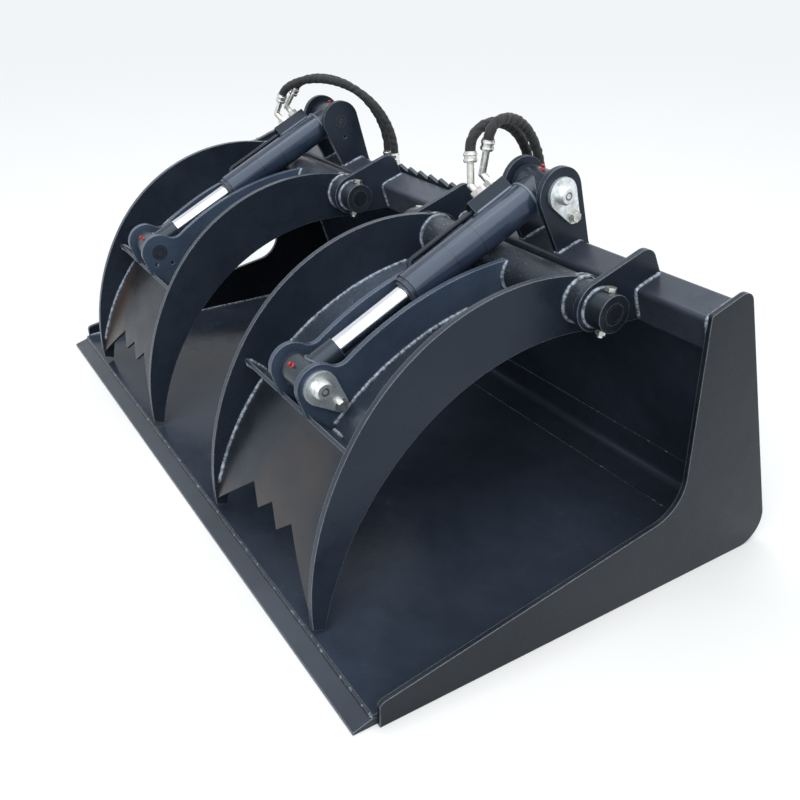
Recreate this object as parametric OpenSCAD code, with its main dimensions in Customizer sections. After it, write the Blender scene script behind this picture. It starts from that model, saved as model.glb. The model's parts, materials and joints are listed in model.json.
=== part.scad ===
/* [Bucket shell] */
// overall width across the two side plates
bucket_w = 1829; // [1600:1:2200]
// height of the top beam's rear upper corner above the ground
bucket_h = 595; // [540:1:680]
// depth from the cutting tip back to the inner bend at the heel
bucket_d = 972; // [900:1:1080]
// forward lean of the back, in degrees
back_lean = 18.5; // [12:0.5:24]
// thickness of each side plate
side_t = 10; // [8:1:16]
// how far a side plate starts behind the cutting tip
side_setback = 46; // [38:1:60]
// height of the side plate's upright nose
side_nose_h = 52; // [40:1:70]
// height of the throat corner, where the low edge turns up
throat_h = 177; // [140:1:220]
// bend radius of the throat corner
throat_r = 80; // [50:1:110]
// forward lean of the side plate's upright front edge, in degrees
post_lean = 1.6; // [0:0.1:4]
// how far that edge starts behind the beam's front upper corner
post_gap = 4; // [2:1:10]
// how far the side plate reaches behind the beam
side_margin = 30; // [20:1:45]
// how far the side plate rises above the beam
side_rise = 5; // [2:1:12]
// radius of the side plate's heel
heel_r = 58; // [40:1:75]
// radius of the side plate's rear upper corner
crown_r = 25; // [14:1:32]
// radius of the side plate's front upper corner
brow_r = 8; // [4:1:14]
// radius of the side plate's nose corner
nose_r = 14; // [8:1:22]

/* [Plates and cutting edge] */
// depth of the cutting edge strip
edge_depth = 150; // [110:1:200]
// thickness of the cutting edge strip
edge_t = 16; // [12:1:25]
// length of the bevel on the strip's front
edge_bevel = 35; // [20:1:50]
// thickness left at the cutting tip
edge_tip = 5; // [3:1:8]
// thickness of floor, corner and back plates
sheet_t = 8; // [6:1:12]
// how far the floor plate starts behind the cutting tip
floor_setback = 38; // [30:1:80]
// length of each leg of the folded corner plate
corner_leg = 93; // [70:1:130]
// inner bend radius of the corner plate
corner_r = 16; // [10:1:30]
// how far the back plate stops below the beam's top face
back_drop = 20; // [10:1:35]

/* [Top beam] */
// outer size of the square beam tube
beam_size = 76; // [60:1:100]
// wall of the beam tube
beam_wall = 6; // [4:1:10]
// outer corner radius of the beam tube
beam_r = 10; // [7:1:14]

/* [Serrated step] */
// length of the serrated step bar
step_w = 470; // [380:1:560]
// distance from tooth to tooth
step_pitch = 47; // [30:1:60]
// thickness of the step bar
step_t = 8; // [6:1:12]
// rise of the tooth tips above the beam's top face
step_rise = 16; // [12:1:24]
// depth of the gaps between teeth
step_tooth = 13; // [8:1:18]

/* [Grapple hinges] */
// distance of each grapple's centre from the bucket's centre
grapple_x = 453; // [420:1:520]
// how far the hinge centre lies in front of the beam
hinge_front = 90; // [80:1:110]
// how far the hinge centre lies above the beam's top face
hinge_rise = 15; // [5:1:30]
// distance from the grapple's centre to an ear's outer face
ear_half = 286; // [275:1:305]
// thickness of a hinge ear
ear_t = 12; // [8:1:16]
// nose radius of a hinge ear
ear_nose_r = 48; // [40:1:56]
// corner radius at the top of a hinge ear
ear_crown_r = 30; // [18:1:36]
// diameter of the hinge shaft
shaft_d = 42; // [34:1:50]
// outer diameter of the shaft collars
collar_d = 72; // [62:1:84]
// length of each collar
collar_l = 43; // [32:1:56]
// lean of the collar bolts, in degrees
collar_bolt_lean = 9; // [0:1:15]

/* [Grapple] */
// how far the arm tips rest behind the cutting tip
tip_setback = 37; // [25:1:60]
// height of the arm tips' outer corner when closed
tip_h = 41; // [34:1:60]
// distance from the grapple's centre to an arm's outer face
arm_half = 241; // [225:1:255]
// thickness of an arm
arm_t = 12; // [8:1:16]
// radius of the arm's round root end
arm_root_r = 56; // [52:0.5:62]
// outer diameter of the pivot tube
tube_d = 84; // [72:1:96]
// side play between pivot tube and ears
tube_play = 1; // [0.5:0.5:3]
// thickness of the rolled claw plate
claw_t = 8; // [6:1:12]
// rise of the claw plate's side points above the arm tips
claw_point_rise = 15; // [5:1:30]
// rise of the two small teeth above the arm tips
tooth_rise = 92; // [70:1:110]
// rise of the notches beside the small teeth
notch_rise = 127; // [115:1:150]
// place of the cross rib around the claw plate, in degrees from the arm tips
rib_angle = 30.331; // [26:0.001:34]
// height of the cross rib above the claw plate
rib_h = 62; // [45:1:75]
// thickness of the cross rib
rib_t = 8; // [6:1:12]

/* [Lugs and pins] */
// distance from the grapple's centre to a lug's or cylinder ear's outer face
lug_half = 62; // [58:1:72]
// thickness of a lug
lug_t = 12; // [8:1:16]
// place of the lug pin around the claw plate, in degrees from the arm tips
lug_angle = 35.331; // [34:0.001:38]
// height of the lug pin above the claw plate
lug_h = 81; // [72:1:92]
// nose radius of a lug
lug_nose_r = 46; // [38:1:52]
// height of a lug behind its nose
lug_back_h = 72; // [60:1:80]
// radius of the hollow behind the lug's nose
lug_hollow_r = 30; // [20:1:45]
// diameter of the pins
pin_d = 38; // [32:1:42]
// diameter of the lug pin between the lugs
pin_waist_d = 28; // [22:1:32]
// how far a pin stands out of its flag
pin_stand = 15; // [8:1:22]
// thickness of a pin flag
flag_t = 8; // [5:1:10]
// radius of the flag's round part
flag_r = 34; // [29:1:38]
// radius of the flag's foot at the bolt
flag_foot_r = 16; // [13:1:20]
// distance from pin to flag bolt
flag_reach = 57; // [50:1:64]
// how far the cylinder pin lies above the beam's top face
cyl_rise = 118; // [105:1:135]
// how far the cylinder pin lies behind the beam's front face
cyl_back = 46; // [36:1:56]
// top radius of a cylinder ear
cyl_ear_r = 53; // [46:1:60]
// thickness of a cylinder ear
cyl_ear_t = 12; // [8:1:16]
// how far a cylinder ear reaches behind the beam
cyl_ear_tail = 16; // [12:1:24]

/* [Hydraulic cylinders] */
// outer diameter of the barrel
barrel_d = 76; // [70:1:84]
// wall of the barrel
barrel_wall = 6.3; // [5:0.1:9]
// distance from the base pin to the barrel's open end
barrel_end = 352; // [330:1:370]
// distance from the base pin to where the barrel begins
barrel_start = 44; // [40:1:50]
// diameter of the rod
rod_d = 45; // [38:1:50]
// distance from the base pin to the chromed rod's end
rod_end = 534; // [520:1:548]
// outer diameter of the gland
gland_d = 70; // [66:1:76]
// how far the gland stands out of the barrel
gland_lip = 14; // [8:1:20]
// length of the piston
piston_l = 40; // [30:1:55]
// distance from the base pin to the piston's far face
piston_at = 330; // [310:1:335]
// radius of the eye on the base
base_eye_r = 38; // [34:1:42]
// width of the eye on the base
base_eye_w = 92; // [80:1:96]
// radius of the rod's eye
rod_eye_r = 32; // [30:1:38]
// width of the rod's eye
rod_eye_w = 80; // [60:1:90]
// diameter of the painted neck between rod and eye
neck_d = 50; // [46:1:56]
// turn of the port block towards one side, in degrees
port_roll = 45; // [30:1:60]
// distance from the base pin to the port block
port_start = 52; // [48:1:60]
// length of the port block
port_l = 96; // [85:1:110]
// width of the port block
port_w = 28; // [26:1:34]
// distance of the port block's flat top from the barrel's axis
port_h = 64; // [58:1:70]
// diameter of the oil line
line_d = 12; // [8:1:14]
// distance of the oil line from the barrel's axis
line_h = 46; // [45:1:50]
// distance from the base pin to the oil line's far end
line_end = 320; // [290:1:335]
// bend radius of the oil line
line_r = 14; // [10:1:20]

/* [Hoses and their brackets] */
// outer diameter of a sleeved hose
hose_d = 22; // [16:1:24]
// distance between the two ports of a cylinder
port_pitch = 35; // [28:1:44]
// diameter of a hose fitting's tube
fitting_d = 15; // [12:1:18]
// size across the flats of a fitting's hexagon
fitting_hex = 25; // [22:1:27]
// height of a fitting's hexagon
fitting_hex_h = 13; // [9:1:18]
// diameter of the crimped sleeve on a hose
crimp_d = 25; // [22:1:30]
// length of the crimped sleeve
crimp_l = 22; // [16:1:30]
// straight length of a left fitting before its sleeve
fitting_tail_left = 16; // [8:1:24]
// straight length of a right fitting before its sleeve
fitting_tail_right = 34; // [20:1:44]
// place of the left hose bracket between the step bar's end and the cylinder ear, as a share
bracket_left_share = 0.3782; // [0.3:0.0001:0.5]
// place of the right hose bracket between the step bar's end and the cylinder ear, as a share
bracket_right_share = 0.5769; // [0.45:0.0001:0.65]
// width of a hose bracket
bracket_w = 68; // [60:1:70]
// reach of a hose bracket behind the beam
bracket_reach = 52; // [46:1:64]
// thickness of a hose bracket
bracket_t = 8; // [6:1:10]

/* [Attachment plate] */
// width of the attachment plate on the back
attach_w = 1130; // [1000:1:1140]
// height of the attachment plate
attach_h = 372; // [340:1:400]
// distance of the plate's upper edge below the beam's top
attach_drop = 112; // [100:1:130]
// thickness of the attachment plate
attach_t = 10; // [8:1:16]
// length of the upper and lower lips
attach_lip = 44; // [34:1:56]
// lean of both lips, in degrees
attach_lip_lean = 42; // [30:1:50]
// width of each locking slot
slot_w = 62; // [50:1:80]
// distance of each locking slot from the centre
slot_x = 490; // [440:1:505]

/* [Fastener sizes and play] */
// thread diameter of the bolts
bolt_d = 12; // [10:1:14]
// size across the flats of bolt heads and nuts
bolt_hex = 19; // [17:1:22]
// height of bolt heads and nuts
bolt_head = 8; // [6:1:10]
// diameter of a washer
washer_d = 26; // [23:1:30]
// thickness of a washer
washer_t = 3; // [2:0.5:4]
// play around a pin or shaft that turns, on the radius
run_play = 0.05; // [0.02:0.01:0.1]
// free play between the rod's eye and its thin pin, on the radius
eye_play = 11.6; // [11:0.1:12]
// play around bolts
bolt_play = 0.4; // [0.2:0.1:1]

/* [Hidden] */

// overrun of cutting shapes past a face
over = 1;
// face count of round shapes
smooth = 128;
// how far an arc crosses its neighbour, so that the two meet at a clean corner
graze = 0.02;
// hair gap between faces that are welded together
seam_gap = 0.02;
// side of a grapple: left is towards -x
left = -1;
right = 1;

// plain geometry helpers
function unit(v) = v / norm(v);
function beside(v) = [-v[1], v[0]];
function aim(angle) = [cos(angle), sin(angle)];
function meet(p, d, q, e) = p + d * cross(q - p, e) / cross(d, e);
function touch(c, r, p, side) =
    c + (r - graze) * aim(atan2(p[1] - c[1], p[0] - c[0]) + side * acos((r - graze) / norm(p - c)));
function arc_centre(a, b, r) =
    (a + b) / 2 + beside(unit(b - a)) * sqrt(r * r - norm(b - a) * norm(b - a) / 4);
function flat_set(lists) = [for (part = lists) each part];

// rounded corners: an outer corner loses the piece outside its arc, an inner corner is filled and bored
wedge_share = 1.2;
function before(points, i) = points[(i + len(points) - 1) % len(points)];
function after(points, i) = points[(i + 1) % len(points)];
function corner_in(points, i) = unit(points[i] - before(points, i));
function corner_out(points, i) = unit(after(points, i) - points[i]);
function corner_turn(points, i) = cross(corner_in(points, i), corner_out(points, i));
function corner_cut(points, i, r) = r * tan(acos(corner_in(points, i) * corner_out(points, i)) / 2);
function corner_start(points, i, r) = points[i] - corner_cut(points, i, r) * corner_in(points, i);
function corner_stop(points, i, r) = points[i] + corner_cut(points, i, r) * corner_out(points, i);
function corner_filled(points, i, r) = r == 0 || corner_turn(points, i) > 0 ? [points[i]]
    : [corner_start(points, i, r), corner_stop(points, i, r)];
module disc(at, r) {
    translate(at) circle(r = r, $fn = smooth);
}
module corner_piece(points, i, r) {
    start = corner_start(points, i, r);
    centre = start + sign(corner_turn(points, i)) * r * beside(corner_in(points, i));
    if (corner_turn(points, i) < 0) disc(centre, r + graze);
    else difference() {
        polygon([centre, centre + wedge_share * (start - centre), centre + wedge_share * (points[i] - centre),
            centre + wedge_share * (corner_stop(points, i, r) - centre)]);
        disc(centre, r + graze);
    }
}
module rounded(points, rounds) {
    steps = [0 : len(points) - 1];
    difference() {
        polygon(flat_set([for (i = steps) corner_filled(points, i, rounds[i])]));
        for (i = steps)
            if (rounds[i] > 0) corner_piece(points, i, rounds[i]);
    }
}

// a plate whose outline is drawn in depth and height, standing across the width
module upright(x, t) {
    translate([x, 0, 0]) rotate([90, 0, 90]) linear_extrude(t) children();
}

// a round bar along the width
module crossbar(x, l, r, at) {
    translate([x, at[0], at[1]]) rotate([0, 90, 0]) cylinder(h = l, r = r, $fn = smooth);
}

// a hexagon prism sized across its flats
module hexagon(across, h) {
    cylinder(h = h, r = across / sqrt(3), $fn = 6);
}

// a tube that runs up, bends towards +x and runs on
module bent_bar(r, lead, bend_r, bend, tail) {
    cylinder(h = lead, r = r, $fn = smooth);
    translate([bend_r, 0, lead]) rotate([90, 0, 180])
        rotate_extrude(angle = bend, $fn = smooth) translate([bend_r, 0]) circle(r = r, $fn = smooth);
    translate([bend_r * (1 - cos(bend)), 0, lead + bend_r * sin(bend)]) rotate([0, bend, 0])
        cylinder(h = tail, r = r, $fn = smooth);
}

// the origin lies under the middle of the cutting edge strip
module place() {
    translate([0, -edge_depth / 2, 0]) children();
}

// bucket profile, worked out in depth behind the cutting tip and height
inner_w = bucket_w - 2 * side_t;
floor_top = edge_t + sheet_t;
beam_corner = [bucket_d - (bucket_h - floor_top) * tan(back_lean), bucket_h];
function beam_at(back, up) = beam_corner + back * aim(back_lean) + up * beside(aim(back_lean));
module beam_frame() {
    translate(beam_corner) rotate(back_lean) children();
}
back_dir = -beside(aim(back_lean));
post_dir = beside(aim(post_lean));
post_foot = beam_at(-beam_size, 0) + [post_gap, 0];
throat = meet(post_foot, post_dir, [0, throat_h], [1, 0]);
side_outline = [
    [side_setback, 0],
    meet([0, 0], [1, 0], beam_at(side_margin, 0), back_dir),
    beam_at(side_margin, side_rise),
    meet(beam_at(0, side_rise), aim(back_lean), post_foot, post_dir),
    throat,
    [side_setback, side_nose_h]];
side_rounds = [0, heel_r, crown_r, brow_r, throat_r, nose_r];

module side_plate(side) {
    color([0.19, 0.22, 0.26]) place()
        upright(side * (bucket_w - side_t) / 2 - side_t / 2, side_t) rounded(side_outline, side_rounds);
}

module cutting_edge() {
    color([0.22, 0.24, 0.27]) place() upright(-inner_w / 2, inner_w)
        polygon([[0, 0], [edge_depth, 0], [edge_depth, edge_t], [edge_bevel, edge_t], [0, edge_tip]]);
}

seam_y = bucket_d - corner_leg;
module floor_plate() {
    color([0.24, 0.27, 0.31]) place() upright(-inner_w / 2, inner_w)
        translate([floor_setback, edge_t]) square([seam_y - floor_setback, sheet_t]);
}

bend_inner = [bucket_d, floor_top];
bend_outer = meet([0, edge_t], [1, 0], beam_at(sheet_t, 0), back_dir);
seam_inner = bend_inner - corner_leg * back_dir;
seam_outer = seam_inner + sheet_t * aim(back_lean);
module corner_plate() {
    color([0.22, 0.25, 0.29]) place() upright(-inner_w / 2, inner_w)
        rounded([[seam_y, edge_t], bend_outer, seam_outer, seam_inner, bend_inner, [seam_y, floor_top]],
            [0, corner_r + sheet_t, 0, 0, corner_r, 0]);
}

module back_plate() {
    color([0.21, 0.24, 0.28]) place() upright(-inner_w / 2, inner_w)
        polygon([beam_at(0, -back_drop), seam_inner, seam_outer, beam_at(sheet_t, -back_drop)]);
}

function square_corners(size, inset) = [
    [-inset, -inset], [-size + inset, -inset], [-size + inset, -size + inset], [-inset, -size + inset]];
module beam_section(inset) {
    beam_frame() rounded(square_corners(beam_size, inset), [for (i = [1 : 4]) beam_r - inset]);
}
module top_beam() {
    color([0.24, 0.27, 0.31]) place() upright(-inner_w / 2, inner_w) difference() {
        beam_section(0);
        beam_section(beam_wall);
    }
}

// the step bar stands on the back plate's upper edge, against the beam
step_teeth = floor(step_w / step_pitch);
step_slope_share = 0.72;
step_edge = flat_set([for (i = [0 : step_teeth - 1]) [
    [-step_w / 2 + i * step_w / step_teeth, step_rise],
    [-step_w / 2 + (i + step_slope_share) * step_w / step_teeth, step_rise - step_tooth]]]);
module serrated_step() {
    color([0.30, 0.33, 0.37]) place() translate([0, beam_corner[0], beam_corner[1]])
        rotate([back_lean, 0, 0]) translate([0, step_t, 0]) rotate([90, 0, 0]) linear_extrude(step_t)
            polygon(concat([[-step_w / 2, -back_drop]], step_edge,
                [[step_w / 2, step_rise], [step_w / 2, -back_drop]]));
}

// the attachment plate lies flat on the back plate
lip_up = aim(-attach_lip_lean);
module attach_section() {
    foot = -attach_drop - attach_h;
    front = sheet_t + seam_gap;
    rear = sheet_t + attach_t;
    shoulder = attach_t / 2;
    upper_lip = [rear, -attach_drop] + attach_lip * lip_up;
    lower_lip = [rear, foot + attach_t] + attach_lip * aim(-attach_lip_lean / 2);
    beam_frame() {
        polygon([[front, foot], [rear, foot], [rear, -attach_drop], [front, -attach_drop]]);
        polygon([[front, -attach_drop], [front, -attach_drop - attach_t], [rear, -attach_drop - 2 * attach_t],
            [rear + shoulder, -attach_drop - 2 * attach_t], upper_lip - attach_t * beside(lip_up),
            upper_lip, [rear, -attach_drop]]);
        polygon([[front, foot + attach_t], [front, foot], [rear, foot],
            lower_lip - attach_t * beside(aim(-attach_lip_lean / 2)), lower_lip, [rear, foot + attach_t]]);
    }
}
slot_deep_share = 0.42;
module attachment_plate() {
    lip_dir = back_lean - attach_lip_lean / 2;
    slot_at = beam_at(sheet_t + attach_t, -attach_drop - attach_h) + attach_lip / 2 * aim(lip_dir);
    color([0.22, 0.25, 0.29]) place() difference() {
        upright(-attach_w / 2, attach_w) attach_section();
        for (side = [left, right])
            translate([side * slot_x, slot_at[0], slot_at[1]]) rotate([lip_dir, 0, 0])
                translate([-slot_w / 2, -attach_lip * slot_deep_share / 2, -2 * attach_t])
                    cube([slot_w, attach_lip * slot_deep_share, 4 * attach_t]);
    }
}

// hinge ears sit over the beam's front and top faces
hinge = beam_at(-beam_size - hinge_front, hinge_rise);
ear_crown_back_share = 0.26;
ear_crown_up_share = 0.86;
ear_crown = beam_at(-beam_size * ear_crown_back_share, beam_size * ear_crown_up_share);
ear_heel = beam_at(-beam_r, 0);
ear_toe = beam_at(-beam_size, -beam_size + beam_r);
module ear_outline() {
    difference() {
        union() {
            translate(hinge) circle(r = ear_nose_r, $fn = smooth);
            rounded([hinge, touch(hinge, ear_nose_r, ear_toe, -1), ear_toe, ear_heel, ear_crown,
                touch(hinge, ear_nose_r, ear_crown, 1)], [0, 0, 0, 0, ear_crown_r, 0]);
        }
        beam_section(0);
        translate(hinge) circle(r = shaft_d / 2 + run_play, $fn = smooth);
    }
}
module hinge_ear(side, end) {
    centre = side * grapple_x + end * (ear_half - ear_t / 2);
    color([0.23, 0.26, 0.30]) place() upright(centre - ear_t / 2, ear_t) ear_outline();
}

shaft_l = 2 * (ear_half + collar_l);
bolt_x = ear_half + collar_l / 2;
module cross_drill(r) {
    for (side = [left, right], end = [left, right])
        translate([side * grapple_x + end * bolt_x, hinge[0], hinge[1]]) rotate([-collar_bolt_lean, 0, 0])
            translate([0, 0, -collar_d]) cylinder(h = 2 * collar_d, r = r, $fn = smooth);
}
module hinge_shafts() {
    color([0.45, 0.46, 0.48]) place() difference() {
        for (side = [left, right])
            crossbar(side * grapple_x - shaft_l / 2, shaft_l, shaft_d / 2, hinge);
        cross_drill(bolt_d / 2 + bolt_play);
    }
}
module hinge_collars() {
    color([0.23, 0.26, 0.30]) place() difference() {
        for (side = [left, right], end = [left, right])
            crossbar(side * grapple_x + end * bolt_x - collar_l / 2, collar_l, collar_d / 2, hinge);
        for (side = [left, right])
            crossbar(side * grapple_x - shaft_l, 2 * shaft_l, shaft_d / 2 + run_play, hinge);
        cross_drill(bolt_d / 2 + bolt_play);
    }
}
module at_collar_bolts() {
    for (side = [left, right], end = [left, right])
        translate([side * grapple_x + end * bolt_x, hinge[0], hinge[1]]) rotate([-collar_bolt_lean, 0, 0])
            children();
}
module collar_bolts() {
    color([0.72, 0.73, 0.72]) place() at_collar_bolts() {
        translate([0, 0, collar_d / 2]) hexagon(bolt_hex, bolt_head);
        translate([0, 0, -collar_d / 2 - bolt_head - bolt_d / 2])
            cylinder(h = collar_d + bolt_head + bolt_d / 2 + over, r = bolt_d / 2, $fn = smooth);
        difference() {
            translate([0, 0, -collar_d / 2 - bolt_head]) hexagon(bolt_hex, bolt_head);
            translate([0, 0, -collar_d]) cylinder(h = collar_d, r = bolt_d / 2 + run_play, $fn = smooth);
        }
    }
}

// grapple profile, tied to the line from the hinge to the arm tips: shares along it and beside it
arm_line = [tip_setback, tip_h] - hinge;
reach = norm(arm_line);
arm_shares = [[0.9843, 0.0308], [0.545, -0.132], [0.0563, 0.0635], [-0.0383, -0.0432], [0.5749, -0.272], [1, 0]];
arm_back_share = 0.577;
arm_belly_share = 0.6339;
arm_root_shares = [0.0025, 0.0164];
function arm_spot(shares) = hinge + shares[0] * arm_line + shares[1] * beside(arm_line);
arm_points = [for (p = arm_shares) arm_spot(p)];
arm_root_at = arm_spot(arm_root_shares);

// an arm's back and belly are two arcs each, and the second leaves the first smoothly at p towards q
function next_r(p, q, c) = (p - q) * (p - q) / (2 * ((p - q) * unit(p - c)));
function next_at(p, q, c) = p - next_r(p, q, c) * unit(p - c);
back_r = arm_back_share * reach;
back_at = arc_centre(arm_points[3], arm_points[4], back_r);
brow_at = next_at(arm_points[4], arm_points[5], back_at);
belly_r = arm_belly_share * reach;
belly_at = arc_centre(arm_points[2], arm_points[1], belly_r);
chin_at = next_at(arm_points[1], arm_points[0], belly_at);
tip_run = reach / 5 * unit(arm_points[0] - arm_points[5]);
module arm_blade() {
    difference() {
        union() {
            intersection() {
                disc(back_at, back_r + graze);
                translate([-reach, -reach]) square([arm_root_at[0] + reach, 3 * reach]);
            }
            intersection() {
                disc(brow_at, next_r(arm_points[4], arm_points[5], back_at));
                polygon([brow_at, brow_at + wedge_share * (arm_points[4] - brow_at),
                    arm_points[5] - tip_run, arm_points[0] + tip_run]);
            }
        }
        disc(belly_at, belly_r + graze);
        intersection() {
            disc(chin_at, next_r(arm_points[1], arm_points[0], belly_at));
            polygon([chin_at, chin_at + wedge_share * (arm_points[1] - chin_at),
                [-reach, chin_at[1] + wedge_share * (arm_points[1] - chin_at)[1]], [-reach, -reach],
                [chin_at[0], -reach]]);
        }
    }
}
module arm(side, end) {
    centre = side * grapple_x + end * (arm_half - arm_t / 2);
    color([0.20, 0.23, 0.27]) place() upright(centre - arm_t / 2, arm_t) difference() {
        union() {
            arm_blade();
            disc(arm_root_at, arm_root_r);
        }
        disc(hinge, tube_d / 2);
    }
}

// the claw plate is rolled from the pivot tube's underside down to the tips
claw_gap = 0.1;
claw_head = hinge - [0, tube_d / 2 + claw_gap];
claw_foot = [tip_setback + edge_tip / 2, tip_h + claw_point_rise];
claw_bend_share = 0.795;
claw_r = claw_bend_share * norm(claw_head - claw_foot);
claw_centre = arc_centre(claw_head, claw_foot, claw_r);
claw_span = arm_half - arm_t;
claw_start = atan2(claw_head[1] - claw_centre[1], claw_head[0] - claw_centre[0]);
claw_stop = atan2(claw_foot[1] - claw_centre[1], claw_foot[0] - claw_centre[0]);
function claw_at(angle, rise) = claw_centre + (claw_r + rise) * aim(angle);
rib_turn_at = claw_stop - rib_angle;
lug_turn_at = claw_stop - lug_angle;
tooth_share = 0.19;
notch_share = 0.38;
claw_edge = [
    [-claw_span, claw_foot[1]],
    [-notch_share * claw_span, tip_h + notch_rise],
    [-tooth_share * claw_span, tip_h + tooth_rise],
    [0, tip_h + notch_rise],
    [tooth_share * claw_span, tip_h + tooth_rise],
    [notch_share * claw_span, tip_h + notch_rise],
    [claw_span, claw_foot[1]]];
module claw_plate(side) {
    wedge = (claw_stop - claw_start) / 2;
    far = 2 * claw_r;
    color([0.22, 0.25, 0.29]) place() translate([side * grapple_x, 0, 0]) intersection() {
        upright(-claw_span, 2 * claw_span) difference() {
            intersection() {
                translate(claw_centre) circle(r = claw_r, $fn = smooth);
                polygon([claw_centre, claw_centre + far * aim(claw_start),
                    claw_centre + far * aim(claw_start + wedge), claw_centre + far * aim(claw_stop + wedge / 4)]);
            }
            translate(claw_centre) circle(r = claw_r - claw_t, $fn = smooth);
        }
        translate([0, bucket_d, 0]) rotate([90, 0, 0]) linear_extrude(2 * bucket_d)
            polygon(concat(claw_edge, [[claw_span, bucket_h], [-claw_span, bucket_h]]));
    }
}

module rib_bar(sink) {
    translate(claw_centre) rotate(rib_turn_at) translate([claw_r - sink, -rib_t / 2])
        square([rib_h + sink, rib_t]);
}
module cross_rib(side) {
    color([0.22, 0.25, 0.29]) place()
        upright(side * grapple_x - claw_span, 2 * claw_span) rib_bar(0);
}

// the pivot tube turns on the shaft at both ends and is relieved between them
tube_half = ear_half - ear_t - tube_play;
bush_share = 0.18;
relief = 3;
module pivot_tube(side) {
    color([0.24, 0.27, 0.31]) place() translate([side * grapple_x, 0, 0]) difference() {
        crossbar(-tube_half, 2 * tube_half, tube_d / 2, hinge);
        crossbar(-tube_half - over, 2 * (tube_half + over), shaft_d / 2 + run_play, hinge);
        crossbar(-tube_half * (1 - bush_share), 2 * tube_half * (1 - bush_share), shaft_d / 2 + relief, hinge);
    }
}

// lugs stand on the claw plate between cross rib and pivot tube
lug_pin_at = claw_at(lug_turn_at, lug_h);
ridge_r = claw_r + lug_back_h;
hollow_far = ridge_r + lug_hollow_r;
hollow_near = lug_nose_r + lug_hollow_r;
lug_far = claw_r + lug_h;
hollow_angle = lug_turn_at - acos((hollow_far * hollow_far + lug_far * lug_far - hollow_near * hollow_near)
    / (2 * hollow_far * lug_far));
hollow_at = claw_centre + hollow_far * aim(hollow_angle);
rib_turn = beside(aim(rib_turn_at));
rib_front_top = claw_at(rib_turn_at, rib_h) + rib_t / 2 * rib_turn;
flag_lean = -48;
flag_lean_base = -57;
spare_hole_d = 10;
spare_lean = -111;
spare_lean_base = -76;
spare_share = 0.6;
spare_base_share = 0.78;
module lug_outline() {
    difference() {
        union() {
            intersection() {
                translate(claw_centre) circle(r = ridge_r, $fn = smooth);
                polygon([claw_centre, claw_centre + 2 * claw_r * aim(claw_start),
                    claw_centre + 2 * claw_r * aim(lug_turn_at)]);
            }
            translate(lug_pin_at) circle(r = lug_nose_r, $fn = smooth);
            polygon([claw_at(hollow_angle, -claw_t), hollow_at, lug_pin_at,
                touch(lug_pin_at, lug_nose_r, rib_front_top, -1), rib_front_top,
                claw_at(rib_turn_at, -claw_t) + rib_t / 2 * rib_turn]);
        }
        translate(hollow_at) circle(r = lug_hollow_r + graze, $fn = smooth);
        translate(claw_centre) circle(r = claw_r, $fn = smooth);
        translate(hinge) circle(r = tube_d / 2 + seam_gap, $fn = smooth);
        rib_bar(claw_t);
    }
}
// a bar through the lug or ear on one end of a grapple's centre
module half_bar(side, end, r, at) {
    crossbar(side * grapple_x + (end > 0 ? 0 : -2 * lug_half), 2 * lug_half, r, at);
}
module lugs(side) {
    color([0.22, 0.25, 0.29]) place() difference() {
        for (end = [left, right])
            upright(side * grapple_x + end * (lug_half - lug_t / 2) - lug_t / 2, lug_t) lug_outline();
        crossbar(side * grapple_x - 2 * lug_half, 4 * lug_half, pin_d / 2 + run_play, lug_pin_at);
        half_bar(side, side, bolt_d / 2 + run_play, lug_pin_at + flag_reach * aim(flag_lean));
        half_bar(side, -side, spare_hole_d / 2, lug_pin_at + flag_reach * spare_share * aim(spare_lean));
        half_bar(side, -side, spare_hole_d / 2, lug_pin_at + flag_reach * spare_base_share * aim(flag_lean));
    }
}

// a flag pin: the flag is outboard, the far end is flush with the inboard plate
pin_round = 4;
function mirror_side(side) = side > 0 ? [0, 0, 0] : [1, 0, 0];
module flag_pin(at, lean, waist) {
    foot = at + flag_reach * aim(lean);
    difference() {
        union() {
            crossbar(-lug_half, 2 * lug_half + flag_t + pin_stand - pin_round, pin_d / 2, at);
            translate([lug_half + flag_t + pin_stand - pin_round, at[0], at[1]]) rotate([0, 90, 0])
                cylinder(h = pin_round, r1 = pin_d / 2, r2 = pin_d / 2 - pin_round, $fn = smooth);
            upright(lug_half, flag_t) {
                translate(at) circle(r = flag_r, $fn = smooth);
                translate(foot) circle(r = flag_foot_r, $fn = smooth);
                polygon([flag_side(at, flag_r, lean, 1), flag_side(foot, flag_foot_r, lean, 1),
                    flag_side(foot, flag_foot_r, lean, -1), flag_side(at, flag_r, lean, -1)]);
            }
        }
        crossbar(lug_half - over, flag_t + 2 * over, bolt_d / 2 + bolt_play, foot);
        if (waist) difference() {
            crossbar(-lug_half + lug_t, 2 * (lug_half - lug_t), pin_d, at);
            crossbar(-lug_half, 2 * lug_half, pin_waist_d / 2, at);
        }
    }
}
flag_slant = asin((flag_r - flag_foot_r) / flag_reach);
function flag_side(c, r, lean, side) = c + (r - graze) * aim(lean + side * (90 - flag_slant));

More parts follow.
